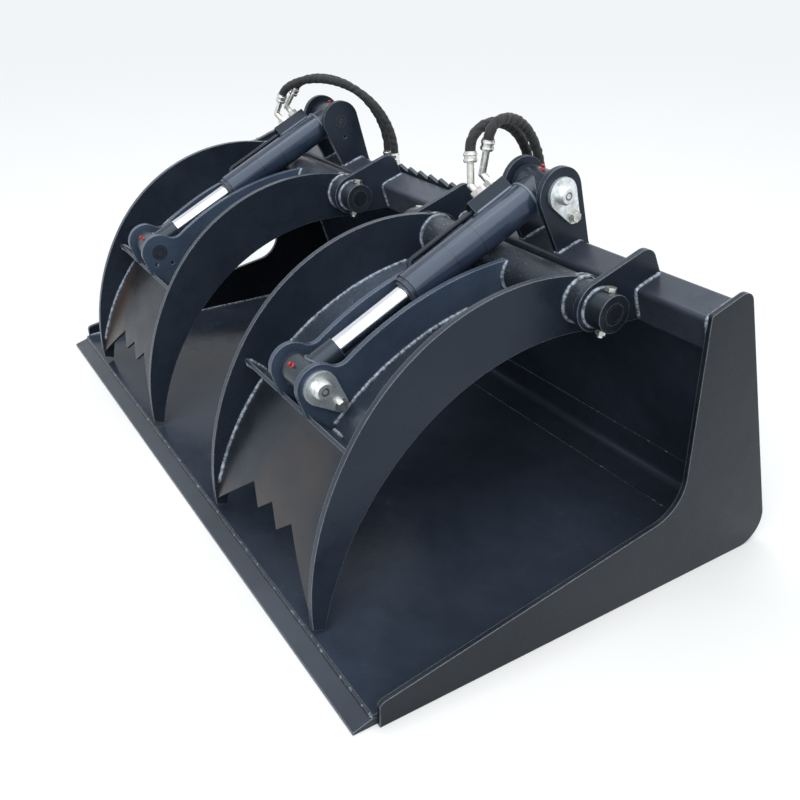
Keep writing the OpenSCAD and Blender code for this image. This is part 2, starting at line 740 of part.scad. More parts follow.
base_pin_at = beam_at(-beam_size + cyl_back, cyl_rise);
module lug_pin(side) {
    color([0.62, 0.63, 0.62]) place() translate([side * grapple_x, 0, 0]) mirror(mirror_side(side))
        flag_pin(lug_pin_at, flag_lean, true);
}
module base_pins() {
    color([0.62, 0.63, 0.62]) place() for (side = [left, right])
        translate([side * grapple_x, 0, 0]) mirror(mirror_side(side))
            flag_pin(base_pin_at, flag_lean_base, false);
}
module flag_bolt(side, at, plate_t) {
    color([0.74, 0.75, 0.74]) place() translate([side * grapple_x, at[0], at[1]])
        mirror(mirror_side(side)) translate([lug_half + flag_t, 0, 0]) rotate([0, 90, 0]) {
            cylinder(h = washer_t, r = washer_d / 2, $fn = smooth);
            translate([0, 0, washer_t]) hexagon(bolt_hex, bolt_head);
            translate([0, 0, -flag_t - plate_t]) cylinder(h = flag_t + plate_t + over, r = bolt_d / 2, $fn = smooth);
        }
}
module lug_pin_bolt(side) {
    flag_bolt(side, lug_pin_at + flag_reach * aim(flag_lean), lug_t);
}
module base_pin_bolts() {
    for (side = [left, right])
        flag_bolt(side, base_pin_at + flag_reach * aim(flag_lean_base), cyl_ear_t);
}

// cylinder ears stand on the beam and reach down behind it
cyl_foot_share = 0.14;
cyl_foot = beam_at(-beam_size * (1 - cyl_foot_share), 0);
cyl_tail = beam_at(cyl_ear_tail, -back_drop);
module cyl_ear_outline() {
    difference() {
        union() {
            translate(base_pin_at) circle(r = cyl_ear_r, $fn = smooth);
            polygon([base_pin_at, touch(base_pin_at, cyl_ear_r, cyl_foot, -1), cyl_foot,
                beam_at(-beam_size / 2, -beam_size / 2), beam_at(-beam_wall, -back_drop), cyl_tail,
                touch(base_pin_at, cyl_ear_r, cyl_tail, 1)]);
        }
        beam_section(0);
        translate(base_pin_at) circle(r = pin_d / 2 + run_play, $fn = smooth);
    }
}
module cylinder_ears(side) {
    color([0.22, 0.25, 0.29]) place() difference() {
        for (end = [left, right])
            upright(side * grapple_x + end * (lug_half - cyl_ear_t / 2) - cyl_ear_t / 2, cyl_ear_t)
                cyl_ear_outline();
        half_bar(side, side, bolt_d / 2 + run_play, base_pin_at + flag_reach * aim(flag_lean_base));
        half_bar(side, -side, spare_hole_d / 2,
            base_pin_at + flag_reach * spare_base_share * aim(spare_lean_base));
    }
}

// each cylinder is drawn from its base pin along its own axis
cyl_line = lug_pin_at - base_pin_at;
cyl_l = norm(cyl_line);
cyl_turn = atan2(-cyl_line[0], cyl_line[1]);
bore_r = barrel_d / 2 - barrel_wall;
module along_cylinder(side) {
    place() translate([side * grapple_x, base_pin_at[0], base_pin_at[1]]) rotate([cyl_turn, 0, 0]) children();
}
module bar(start, stop, r) {
    translate([0, 0, start]) cylinder(h = stop - start, r = r, $fn = smooth);
}
module barrel(side) {
    color([0.27, 0.31, 0.37]) along_cylinder(side) difference() {
        bar(barrel_start, barrel_end, barrel_d / 2);
        bar(barrel_start - over, barrel_end + over, bore_r);
    }
}
plug_depth = 18;
module base_eye(side) {
    color([0.25, 0.29, 0.35]) along_cylinder(side) difference() {
        union() {
            translate([-base_eye_w / 2, 0, 0]) rotate([0, 90, 0])
                cylinder(h = base_eye_w, r = base_eye_r, $fn = smooth);
            bar(0, barrel_start, barrel_d / 2 - over);
            bar(barrel_start - over, barrel_start + plug_depth, bore_r);
        }
        translate([-base_eye_w, 0, 0]) rotate([0, 90, 0])
            cylinder(h = 2 * base_eye_w, r = pin_d / 2 + run_play, $fn = smooth);
    }
}
wiper_l = 4;
gland_depth = 16;
module gland(side) {
    color([0.20, 0.23, 0.28]) along_cylinder(side) difference() {
        union() {
            bar(barrel_end, barrel_end + gland_lip - wiper_l, gland_d / 2);
            bar(barrel_end, barrel_end + gland_lip, (gland_d + rod_d) / 4);
            bar(barrel_end - gland_depth, barrel_end + over, bore_r);
        }
        bar(barrel_end - 2 * gland_depth, barrel_end + 2 * gland_lip, rod_d / 2 + run_play);
    }
}
module piston(side) {
    color([0.55, 0.56, 0.57]) along_cylinder(side) difference() {
        bar(piston_at - piston_l, piston_at, bore_r - run_play);
        bar(piston_at - 2 * piston_l, piston_at + over, (rod_d - wiper_l) / 2);
    }
}
module rod(side) {
    color([0.85, 0.86, 0.87]) along_cylinder(side) {
        bar(piston_at, rod_end, rod_d / 2);
        bar(piston_at - piston_l, piston_at + over, (rod_d - wiper_l) / 2);
    }
}
module rod_eye(side) {
    color([0.27, 0.31, 0.37]) along_cylinder(side) difference() {
        union() {
            bar(rod_end, cyl_l, neck_d / 2);
            translate([-rod_eye_w / 2, 0, cyl_l]) rotate([0, 90, 0])
                cylinder(h = rod_eye_w, r = rod_eye_r, $fn = smooth);
        }
        translate([-rod_eye_w, 0, cyl_l]) rotate([0, 90, 0])
            cylinder(h = 2 * rod_eye_w, r = pin_waist_d / 2 + eye_play, $fn = smooth);
    }
}
module port_block(side) {
    color([0.25, 0.29, 0.35]) along_cylinder(side) rotate([0, 0, port_roll]) difference() {
        translate([-port_w / 2, 0, port_start]) cube([port_w, port_h, port_l]);
        bar(0, cyl_l, barrel_d / 2);
    }
}
module oil_line(side) {
    run = line_end - port_start - port_l - line_r;
    color([0.25, 0.29, 0.35]) along_cylinder(side) rotate([0, 0, port_roll]) difference() {
        translate([0, line_h, port_start + port_l]) rotate([0, 0, -90])
            bent_bar(line_d / 2, run, line_r, 90, line_r);
        bar(0, cyl_l, barrel_d / 2);
    }
}

// fittings leave the port block squarely and bend towards their hoses, the front one first
fitting_lead = 3;
fitting_bend_r = 26;
port_first_share = 0.25;
port_rear = port_start + port_l * port_first_share;
port_spots = [port_rear + port_pitch, port_rear];
fitting_end = fitting_lead + fitting_hex_h;
left_leans = [14, 26];
left_veers = [-20, -16];
right_leans = [4, 4];
right_veers = [10, -8];
function lean_of(side, k) = side > 0 ? right_leans[k] : left_leans[k];
function veer_of(side, k) = side > 0 ? right_veers[k] : left_veers[k];
function fitting_dir(side, k) = [-sin(veer_of(side, k)), cos(veer_of(side, k)) * sin(lean_of(side, k)),
    cos(veer_of(side, k)) * cos(lean_of(side, k))];
function fitting_tail(side) = side > 0 ? fitting_tail_right : fitting_tail_left;
module hose_fitting(side, k) {
    dir = fitting_dir(side, k);
    across = dir[1] * cos(cyl_turn) + dir[2] * sin(cyl_turn);
    along = dir[2] * cos(cyl_turn) - dir[1] * sin(cyl_turn);
    bend = acos(cos(port_roll) * across - sin(port_roll) * dir[0]);
    swing = atan2(-along, cos(port_roll) * dir[0] + sin(port_roll) * across);
    knee = fitting_bend_r * tan(bend / 2);
    translate([0, port_h, port_spots[k]]) rotate([-90, 0, 0]) rotate([0, 0, swing]) {
        hexagon(fitting_hex, fitting_hex_h);
        cylinder(h = fitting_end + knee, r = fitting_d / 2, $fn = smooth);
        translate([0, 0, fitting_end + knee]) {
            sphere(r = fitting_d / 2 + bolt_play, $fn = smooth);
            rotate([0, bend, 0]) cylinder(h = knee + fitting_tail(side) + over, r = fitting_d / 2, $fn = smooth);
            rotate([0, bend, 0]) translate([0, 0, knee + fitting_tail(side)])
                cylinder(h = crimp_l, r = crimp_d / 2, $fn = smooth);
        }
    }
}
module hose_fittings(side) {
    color([0.80, 0.81, 0.80]) along_cylinder(side) rotate([0, 0, port_roll])
        for (k = [0, 1]) hose_fitting(side, k);
}

// brackets behind the beam carry the ends of the hoses
coupler_pitch = 36;
coupler_l = 34;
coupler_back_share = 0.62;
bracket_seat = beam_at(0, -beam_r);
bracket_top = bracket_seat[1];
coupler_y = bracket_seat[0] + bracket_reach * coupler_back_share;
bracket_room = grapple_x - lug_half - step_w / 2;
function bracket_x(side) = side * (step_w / 2 + bracket_room * (side > 0 ? bracket_right_share : bracket_left_share));
module hose_brackets() {
    color([0.22, 0.25, 0.29]) place() for (side = [left, right]) difference() {
        upright(bracket_x(side) - bracket_w / 2, bracket_w) difference() {
            polygon([bracket_seat, bracket_seat + bracket_t * back_dir,
                bracket_seat + [bracket_reach, -bracket_t], bracket_seat + [bracket_reach, 0]]);
            beam_frame() translate([-over, -attach_drop - back_drop - seam_gap])
                square([sheet_t + over + seam_gap, attach_drop + 2 * seam_gap]);
        }
        for (end = [left, right])
            translate([bracket_x(side) + end * coupler_pitch / 2, coupler_y, bracket_top - 2 * bracket_t])
                cylinder(h = 4 * bracket_t, r = fitting_d / 2 + bolt_play, $fn = smooth);
    }
}
module hose_couplers() {
    color([0.80, 0.81, 0.80]) place() for (side = [left, right], end = [left, right])
        translate([bracket_x(side) + end * coupler_pitch / 2, coupler_y, bracket_top]) {
            hexagon(fitting_hex, fitting_hex_h);
            translate([0, 0, -coupler_l]) cylinder(h = coupler_l + fitting_hex_h, r = fitting_d / 2, $fn = smooth);
            translate([0, 0, fitting_hex_h]) cylinder(h = crimp_l, r = crimp_d / 2, $fn = smooth);
            translate([0, 0, -bracket_t - fitting_hex_h]) hexagon(fitting_hex, fitting_hex_h);
        }
}

// hoses: each is a round tube along a smooth curve drawn by its own chosen points
hose_sides = 10;
hose_rings = 26;
route_left_front = [[-503.7, 597.4, 764.2], [-494, 604, 790], [-470, 640, 815], [-370, 730, 850],
    [-278, 815, 745], [-276, 816.4, 620.7]];
route_left_rear = [[-508, 640.2, 778.4], [-501, 650, 799], [-490, 690, 815], [-400, 770, 830],
    [-314, 815, 730], [-312, 816.4, 620.7]];
route_right_front = [[377.5, 591.8, 770.7], [372, 594, 804], [368, 610, 830], [330, 750, 850],
    [307, 816, 740], [307, 816.4, 620.7]];
route_right_rear = [[395.8, 622, 793.9], [401, 624, 828], [386, 650, 835], [362, 750, 855],
    [343, 816, 740], [343, 816.4, 620.7]];
function curve_at(p, t) = len(p) == 1 ? p[0]
    : curve_at([for (i = [0 : len(p) - 2]) p[i] * (1 - t) + p[i + 1] * t], t);
function hose_line(route) = [for (i = [0 : hose_rings]) curve_at(route, i / hose_rings)];
function run_dir(line, i, first) = i == 0 ? first : i == len(line) - 1 ? [0, 0, -1]
    : unit(line[i + 1] - line[i - 1]);
function ring_side(dir, last) = unit(last - dir * (last * dir));
function ring_sides(line, i, first, last) = i == len(line) ? []
    : let (s = ring_side(run_dir(line, i, first), last)) concat([s], ring_sides(line, i + 1, first, s));
module hose(route, first) {
    line = hose_line(route);
    sides = ring_sides(line, 0, first, [1, 0, 0]);
    points = [for (i = [0 : len(line) - 1], k = [0 : hose_sides - 1])
        line[i] + hose_d / 2 * (cos(360 * k / hose_sides) * sides[i]
            + sin(360 * k / hose_sides) * cross(run_dir(line, i, first), sides[i]))];
    walls = [for (i = [0 : len(line) - 2], k = [0 : hose_sides - 1]) let (m = (k + 1) % hose_sides)
        each [[i * hose_sides + k, (i + 1) * hose_sides + k, i * hose_sides + m],
            [(i + 1) * hose_sides + k, (i + 1) * hose_sides + m, i * hose_sides + m]]];
    color([0.08, 0.08, 0.09]) place() polyhedron(points, concat([[for (k = [0 : hose_sides - 1]) k]],
        [[for (k = [hose_sides - 1 : -1 : 0]) (len(line) - 1) * hose_sides + k]], walls));
}

floor_plate();
cutting_edge();
corner_plate();
back_plate();
side_plate(left);  // side_plate_left
side_plate(right);  // side_plate_right
top_beam();
serrated_step();
attachment_plate();
hinge_ear(left, left);  // hinge_ear_left_outer
hinge_ear(left, right);  // hinge_ear_left_inner
hinge_ear(right, left);  // hinge_ear_right_inner
hinge_ear(right, right);  // hinge_ear_right_outer
hinge_shafts();
hinge_collars();
collar_bolts();
cylinder_ears(left);  // cylinder_ears_left
cylinder_ears(right);  // cylinder_ears_right
base_pins();
base_pin_bolts();
hose_brackets();
hose_couplers();
hose(route_left_front, fitting_dir(left, 0));  // hose_left_front
hose(route_left_rear, fitting_dir(left, 1));  // hose_left_rear
hose(route_right_front, fitting_dir(right, 0));  // hose_right_front
hose(route_right_rear, fitting_dir(right, 1));  // hose_right_rear
arm(left, left);  // arm_left_outer
arm(left, right);  // arm_left_inner
claw_plate(left);  // claw_plate_left
cross_rib(left);  // cross_rib_left
lugs(left);  // lugs_left
pivot_tube(left);  // pivot_tube_left
lug_pin(left);  // lug_pin_left
lug_pin_bolt(left);  // lug_pin_bolt_left
arm(right, right);  // arm_right_outer
arm(right, left);  // arm_right_inner
claw_plate(right);  // claw_plate_right
cross_rib(right);  // cross_rib_right
lugs(right);  // lugs_right
pivot_tube(right);  // pivot_tube_right
lug_pin(right);  // lug_pin_right
lug_pin_bolt(right);  // lug_pin_bolt_right
barrel(left);  // barrel_left
base_eye(left);  // base_eye_left
gland(left);  // gland_left
port_block(left);  // port_block_left
oil_line(left);  // oil_line_left
hose_fittings(left);  // hose_fittings_left
barrel(right);  // barrel_right
base_eye(right);  // base_eye_right
gland(right);  // gland_right
port_block(right);  // port_block_right
oil_line(right);  // oil_line_right
hose_fittings(right);  // hose_fittings_right
piston(left);  // piston_left
rod(left);  // rod_left
rod_eye(left);  // rod_eye_left
piston(right);  // piston_right
rod(right);  // rod_right
rod_eye(right);  // rod_eye_right
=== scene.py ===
import json
import math
import random

import bpy
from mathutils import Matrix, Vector


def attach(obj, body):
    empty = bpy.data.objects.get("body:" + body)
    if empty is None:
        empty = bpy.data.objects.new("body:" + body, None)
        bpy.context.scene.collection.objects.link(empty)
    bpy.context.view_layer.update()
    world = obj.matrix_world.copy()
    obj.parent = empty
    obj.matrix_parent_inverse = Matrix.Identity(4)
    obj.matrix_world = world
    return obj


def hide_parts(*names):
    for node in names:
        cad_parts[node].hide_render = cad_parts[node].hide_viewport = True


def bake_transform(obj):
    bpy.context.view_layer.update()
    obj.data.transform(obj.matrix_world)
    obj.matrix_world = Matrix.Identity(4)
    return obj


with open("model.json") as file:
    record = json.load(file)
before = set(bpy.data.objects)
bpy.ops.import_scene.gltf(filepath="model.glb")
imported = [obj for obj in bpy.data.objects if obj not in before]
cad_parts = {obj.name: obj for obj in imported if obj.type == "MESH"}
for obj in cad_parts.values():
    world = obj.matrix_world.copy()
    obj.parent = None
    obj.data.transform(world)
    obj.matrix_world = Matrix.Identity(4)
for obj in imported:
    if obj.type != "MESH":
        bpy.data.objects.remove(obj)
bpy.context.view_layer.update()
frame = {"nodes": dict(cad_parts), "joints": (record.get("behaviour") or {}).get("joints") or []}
steel = frame["nodes"]

# The place where the bucket is looked at: it stands on a wide pale floor under an
# overcast sky with two soft lamps. The camera looks down from the front right corner.
camera = bpy.data.objects.new("camera", bpy.data.cameras.new("camera"))
bpy.context.scene.collection.objects.link(camera)
camera.data.lens = 38.943
camera.data.sensor_width = 36.0
camera.data.clip_end = 200.0
camera.location = (1.78366, -0.52051, 1.15387)
camera.rotation_euler = (math.radians(61.5832), math.radians(0.5332), math.radians(58.0343))
bpy.context.scene.camera = camera
bpy.context.scene.view_settings.view_transform = "Standard"


def add_node(tree, kind, values=None, **settings):
    made = tree.nodes.new("ShaderNode" + kind)
    for key, value in settings.items():
        setattr(made, key, value)
    for key, value in (values or {}).items():
        if isinstance(value, bpy.types.NodeSocket):
            tree.links.new(value, made.inputs[key])
        else:
            made.inputs[key].default_value = value
    return made


def maths(tree, operation, *values):
    return add_node(tree, "Math", dict(enumerate(values)), operation=operation).outputs[0]


def looked_at(tree):
    """1 where an eye or a mirror meets the surroundings, 0 where they light the bucket."""
    rays = add_node(tree, "LightPath").outputs
    seen = maths(tree, "MAXIMUM", rays["Is Camera Ray"], rays["Is Glossy Ray"])
    return maths(tree, "MAXIMUM", seen, rays["Is Transmission Ray"])


world = bpy.data.worlds.new("studio")
world.use_nodes = True
bpy.context.scene.world = world
sky = world.node_tree
sky.nodes.clear()
sky_seen = looked_at(sky)
dim = add_node(sky, "Background", {"Color": (0.80, 0.90, 1.0, 1), "Strength": 0.42}).outputs[0]
white = add_node(sky, "Background", {"Color": (1, 1, 1, 1), "Strength": 1.0}).outputs[0]
both = add_node(sky, "MixShader", {0: sky_seen, 1: dim, 2: white}).outputs[0]
add_node(sky, "OutputWorld", {"Surface": both})

lamp_aim = Vector((0, 0.35, 0.3))
for lamp_name, kind, spot, size, power, tint in (
    ("overcast", "SUN", (1.3, -0.5, 2.4), 1.3, 2.15, (0.985, 0.99, 1.0)),
    ("lamp_over", "AREA", (-0.4, 0.9, 4.2), 2.4, 34, (1.0, 0.98, 0.95)),
    ("lamp_front", "AREA", (2.6, -2.6, 2.6), 1.6, 20, (0.93, 0.97, 1.0)),
):
    lamp = bpy.data.objects.new(lamp_name, bpy.data.lights.new(lamp_name, kind))
    if kind == "SUN":
        lamp.data.angle = size
    else:
        lamp.data.size = size
    lamp.data.energy = power
    lamp.data.color = tint
    lamp.location = spot
    lamp.rotation_euler = (lamp_aim - Vector(spot)).to_track_quat("-Z", "Y").to_euler()
    bpy.context.scene.collection.objects.link(lamp)

floor_half, floor_z = 60, -0.0006
floor_corners = [(x * floor_half, y * floor_half, floor_z) for x, y in ((-1, -1), (1, -1), (1, 1), (-1, 1))]
floor_mesh = bpy.data.meshes.new("floor")
floor_mesh.from_pydata(floor_corners, [], [(0, 1, 2, 3)])
floor = bpy.data.objects.new("floor", floor_mesh)
bpy.context.scene.collection.objects.link(floor)
pale = bpy.data.materials.new("pale_floor")
pale.use_nodes = True
pale_tree = pale.node_tree
pale_tree.nodes.clear()
floor_seen = looked_at(pale_tree)
floor_bright = add_node(pale_tree, "BsdfDiffuse", {"Color": (1.0, 0.985, 0.96, 1)}).outputs[0]
floor_dull = add_node(pale_tree, "BsdfDiffuse", {"Color": (0.45, 0.45, 0.46, 1)}).outputs[0]
floor_mix = add_node(pale_tree, "MixShader", {0: floor_seen, 1: floor_dull, 2: floor_bright}).outputs[0]
add_node(pale_tree, "OutputMaterial", {"Surface": floor_mix})
floor_mesh.materials.append(pale)


# Bucket shell: side plates, floor, folded corner plate and back plate are cut from
# steel sheet, welded together and sprayed dark blue grey. The paint has the fine
# ripple of a spray gun, dull patches, dust on level faces and paler sharp edges,
# partly worn paint and partly painted highlight.
def place_on(tree, kind="Object"):
    return add_node(tree, "TexCoord").outputs[kind]


def noise(tree, where, scale, detail, roughness=0.5, distortion=0.0):
    values = {"Vector": where, "Scale": scale, "Detail": detail, "Roughness": roughness,
              "Distortion": distortion}
    return add_node(tree, "TexNoise", values).outputs["Fac"]


def stretch(tree, value, low, high, start=0.0, stop=1.0):
    """Lay the span from low to high on the span from start to stop."""
    values = {"Value": value, "From Min": low, "From Max": high, "To Min": start, "To Max": stop}
    return add_node(tree, "MapRange", values).outputs[0]


def coordinate(tree, place, letter):
    return add_node(tree, "SeparateXYZ", {0: place}).outputs[letter]


def dot(tree, first, second):
    return add_node(tree, "VectorMath", {0: first, 1: second}, operation="DOT_PRODUCT").outputs["Value"]


def scaled(tree, colour, factor):
    return add_node(tree, "VectorMath", {0: colour, "Scale": factor}, operation="SCALE").outputs[0]


def mix(tree, share, first, second):
    return add_node(tree, "Mix", {0: share, 6: first, 7: second}, data_type="RGBA").outputs[2]


def emboss(tree, coat, height, strength, distance, normal=None):
    """Small relief in the surface, on top of its own or a softened normal."""
    lift = add_node(tree, "Bump", {"Height": height, "Strength": strength, "Distance": distance})
    if normal is not None:
        tree.links.new(normal, lift.inputs["Normal"])
    tree.links.new(lift.outputs[0], coat.inputs["Normal"])


def new_finish(name):
    """A new material, with its tree and its shader."""
    made = bpy.data.materials.new(name)
    made.use_nodes = True
    return made, made.node_tree, made.node_tree.nodes["Principled BSDF"]


dust_tone = (0.060, 0.066, 0.076, 1)
# pale tone of sharp edges: worn paint and painted highlight together
edge_wear_and_highlight_tone = (0.46, 0.51, 0.58, 1)
speck_tone = (0.26, 0.29, 0.33, 1)
mirror_tint = (0.70, 0.84, 1.0, 1)
mirror_below, mirror_mean = 0.14, 0.36


def sprayed_steel(name, colour, gloss=0.34, patches=0.5, dust=0.25, specks=0.0, edge=0.5, swirl=0.0,
                  sky=0.58):
    made, tree, coat = new_finish(name)
    where = place_on(tree)
    cloud = noise(tree, where, 2.6, 3.0, 0.5, 0.4)
    blotch = noise(tree, where, 23.0, 4.0, 0.6)
    grain = noise(tree, where, 430.0, 3.0, 0.55)
    ripple = noise(tree, where, 95.0, 2.0)
    cloudy = stretch(tree, cloud, 0.32, 0.70, 1 - patches, 1 + patches)
    blotchy = stretch(tree, blotch, 0.3, 0.7, 0.92, 1.09)
    result = scaled(tree, colour, maths(tree, "MULTIPLY", cloudy, blotchy))
    # dust lies on faces that look up
    rise = coordinate(tree, place_on(tree, "Normal"), "Z")
    level = stretch(tree, rise, 0.15, 1.0, 0.15, 1.0)
    film = stretch(tree, cloud, 0.42, 0.68, 0.0, dust)
    dusty = maths(tree, "MULTIPLY", level, film)
    result = mix(tree, dusty, result, dust_tone)
    # sharp edges show paler: partly paint worn thin there, partly a painted highlight of the light the edges
    # catch
    rounded = None
    if edge:
        rounded = add_node(tree, "Bevel", {"Radius": 0.0025}, samples=3).outputs[0]
        straight = add_node(tree, "NewGeometry").outputs["Normal"]
        edge_wear_and_highlight = stretch(tree, dot(tree, rounded, straight), 0.99, 0.86, 0.0, edge)
        result = mix(tree, maths(tree, "MULTIPLY", edge_wear_and_highlight, blotchy), result, edge_wear_and_highlight_tone)
    # overspray: fine pale specks of dry paint
    dots = stretch(tree, noise(tree, where, 330.0, 1.0, 0.4), 0.66, 0.72, 0.0, specks)
    spread = stretch(tree, cloud, 0.40, 0.60, 0.25, 1.0)
    result = mix(tree, maths(tree, "MULTIPLY", dots, spread), result, speck_tone)
    tree.links.new(result, coat.inputs["Base Color"])
    rough = stretch(tree, blotch, 0.3, 0.7, gloss - 0.06, gloss + 0.09)
    tree.links.new(maths(tree, "MULTIPLY_ADD", dusty, 0.5, rough), coat.inputs["Roughness"])
    # faces that look down mirror dark ground, faces that look up mirror the sky
    mirror = stretch(tree, rise, -0.35, 0.85, mirror_below, sky)
    coat.inputs["Specular IOR Level"].default_value = mirror_mean
    tree.links.new(mirror, coat.inputs["Specular IOR Level"])
    coat.inputs["Specular Tint"].default_value = mirror_tint
    height = maths(tree, "MULTIPLY_ADD", grain, 0.22, ripple)
    if swirl:
        values = {"Vector": where, "Scale": 26.0, "Distortion": 14.0, "Detail": 3.0, "Detail Scale": 1.3}
        brushed = add_node(tree, "TexWave", values, wave_type="RINGS").outputs["Fac"]
        height = maths(tree, "MULTIPLY_ADD", brushed, swirl, height)
    emboss(tree, coat, height, 0.16, 0.0011, rounded)
    return made


def finish_with(material, *names):
    for name in names:
        steel[name].data.materials.clear()
        steel[name].data.materials.append(material)
        for face in steel[name].data.polygons:
            face.material_index = 0


shell_paint = sprayed_steel("shell_paint", (0.0115, 0.0137, 0.0180), gloss=0.29, patches=0.35, dust=0.20,
                            edge=0.85, sky=0.45)
inside_paint = sprayed_steel("inside_paint", (0.0345, 0.0450, 0.0655), gloss=0.18, patches=0.25, dust=0.05,
                             specks=0.08, sky=0.16)
finish_with(shell_paint, "side_plate_left", "side_plate_right")
finish_with(inside_paint, "floor_plate", "corner_plate", "back_plate")


# Weld beads: each is a rippled run of melted steel laid in the corner between two
# plates and painted over. A bead is a row of small overlapping humps.
def ring_round(middle, side, other, radius, around):
    turns = [2 * math.pi * k / around for k in range(around)]
    return [middle + radius * (math.cos(turn) * side + math.sin(turn) * other) for turn in turns]


def tube_skin(first, rings, around):
    """Faces over rings of points that start at number first, with both ends shut."""
    faces = []
    for ring in range(rings - 1):
        for k in range(around):
            a = first + ring * around + k
            b = first + ring * around + (k + 1) % around
            faces.append((a, b, b + around, a + around))
    last = first + (rings - 1) * around
    faces.append(tuple(first + k for k in reversed(range(around))))
    faces.append(tuple(last + k for k in range(around)))
    return faces


def new_piece(name, points, faces, material, flat_ends=False):
    mesh = bpy.data.meshes.new(name)
    mesh.from_pydata(points, [], faces)
    mesh.materials.append(material)
    for face in mesh.polygons:
        face.use_smooth = len(face.vertices) == 4 or not flat_ends
    made = bpy.data.objects.new(name, mesh)
    bpy.context.scene.collection.objects.link(made)
    return made


def weld_run(name, lines, width, body, paint):
    """One piece with a bead along every line."""
    points, faces = [], []
    dice = random.Random(sum(ord(letter) for letter in name))
    around = 7
    pitch, hump = width * 0.20, width * 0.62
    for line in lines:
        line = [Vector(point) for point in line]
        spans = [(line[k + 1] - line[k]).length for k in range(len(line) - 1)]
        total = sum(spans)
        count = max(6, int(total / pitch))
        drift = dice.uniform(0, 6)
        side = None
        span, walked = 0, 0.0
        faces += tube_skin(len(points), count + 1, around)
        for i in range(count + 1):
            reach = total * i / count
            while span < len(spans) - 1 and reach > walked + spans[span]:
                walked += spans[span]
                span += 1
            share = min(1.0, (reach - walked) / spans[span]) if spans[span] else 0.0
            middle = line[span].lerp(line[span + 1], share)
            ahead = (line[span + 1] - line[span]).normalized()
            side = ahead.orthogonal() if side is None else side - ahead * side.dot(ahead)
            side.normalize()
            taper = min(1.0, 0.35 + min(reach, total - reach) / width)
            radius = width / 2 * taper * (0.80 + 0.20 * abs(math.sin(math.pi * reach / hump)))
            radius *= 1 + 0.07 * math.sin(drift + reach * 41) + dice.uniform(-0.04, 0.04)
            points += ring_round(middle, side, ahead.cross(side), radius, around)
    made = new_piece(name, points, faces, paint)
    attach(made, body)


def cover(material, share, tone):
    """Lay another tone over a material's colour, as far as share says."""
    tree = material.node_tree
    colour = tree.nodes["Principled BSDF"].inputs["Base Color"]
    tree.links.new(mix(tree, share, colour.links[0].from_socket, tone), colour)


def varnish(material, weight, roughness):
    coat = material.node_tree.nodes["Principled BSDF"]
    coat.inputs["Coat Weight"].default_value = weight
    coat.inputs["Coat Roughness"].default_value = roughness


def paint_crest_highlights(material, scale, low, high, pale):
    """Lay pale painted highlights over a bead's paint in noise patches, for the light its crests catch."""
    tree = material.node_tree
    crest_highlight = stretch(tree, noise(tree, place_on(tree), scale, 3.0, 0.6), low, high)
    cover(material, crest_highlight, (*pale, 1))
    varnish(material, 0.5, 0.12)


# bead paint is lighter than the plates' paint as a painted highlight of the light its ripples catch; its pale
# patches are painted highlights too
highlighted_bead_paint = sprayed_steel("highlighted_bead_paint", (0.085, 0.102, 0.130), gloss=0.18, patches=0.5, dust=0.0, edge=0)
paint_crest_highlights(highlighted_bead_paint, 120.0, 0.38, 0.66, (0.44, 0.50, 0.58))
# seams are dark as joints; their pale patches are painted highlights
seam_paint = sprayed_steel("seam_paint", (0.016, 0.020, 0.027), gloss=0.28, patches=0.4, dust=0.0, edge=0)
paint_crest_highlights(seam_paint, 90.0, 0.58, 0.66, (0.20, 0.22, 0.25))
bead, fine_bead, seam_bead = 0.009, 0.006, 0.0042
inner_x, floor_top = 0.9045, 0.024
bead_in, bead_up = 0.0015, 0.001
# where a side plate meets the floor, the folded corner and the back, as y and z
side_run = ((-0.026, floor_top + bead_up), (0.870, floor_top + bead_up), (0.888, 0.030), (0.893, 0.040),
            (0.867, 0.112), (0.730, 0.523))
shell_lines = [[(x, *spot) for spot in side_run] for x in (-inner_x + bead_in, inner_x - bead_in)]
weld_run("shell_welds", shell_lines, bead, "root", highlighted_bead_paint)


def across_bucket(y, z):
    return [(-inner_x, y, z), (inner_x, y, z)]


# the floor's front edge stands on the cutting edge strip
weld_run("edge_weld", [across_bucket(-0.0375, 0.0185)], bead, "root", seam_paint)
# flat seams between floor, corner plate and back plate, the last one on the outside
seam_lines = [across_bucket(0.804, floor_top), across_bucket(0.8675, 0.1122), across_bucket(0.8751, 0.1147)]
weld_run("sheet_seams", seam_lines, seam_bead, "root", seam_paint)

# Cutting edge: a thick strip of hard steel with a bevelled front, welded under the
# floor. It is sprayed with the rest and is the first place to lose its paint.
edge_paint = sprayed_steel("edge_paint", (0.033, 0.039, 0.050), gloss=0.33, patches=0.35, dust=0.25, edge=0.8)
finish_with(edge_paint, "cutting_edge")

# Top beam: a square steel tube between the side plates, leaning with the back. It
# is welded to both side plates all round.
beam_paint = sprayed_steel("beam_paint", (0.0500, 0.0590, 0.0800), gloss=0.27, patches=0.35, dust=0.35)
finish_with(beam_paint, "top_beam")
lean = math.radians(18.5)
beam_corner = (0.705946, 0.595)
beam_side, beam_round, round_dip = 0.076, 0.010, 0.0029
beam_flat, beam_dip = beam_side - beam_round, beam_side - round_dip
beam_bends = [(-beam_side, -beam_flat), (-beam_side, -beam_round), (-beam_dip, -round_dip), (-beam_flat, 0.0),
              (-beam_round, 0.0), (-round_dip, -round_dip), (0.0, -beam_round)]
beam_under = [(0.0, -beam_flat), (-round_dip, -beam_dip), (-beam_round, -beam_side), (-beam_flat, -beam_side),
              (-beam_dip, -beam_dip)]


def on_beam(x, back, up):
    return (x, beam_corner[0] + back * math.cos(lean) - up * math.sin(lean),
            beam_corner[1] + back * math.sin(lean) + up * math.cos(lean))


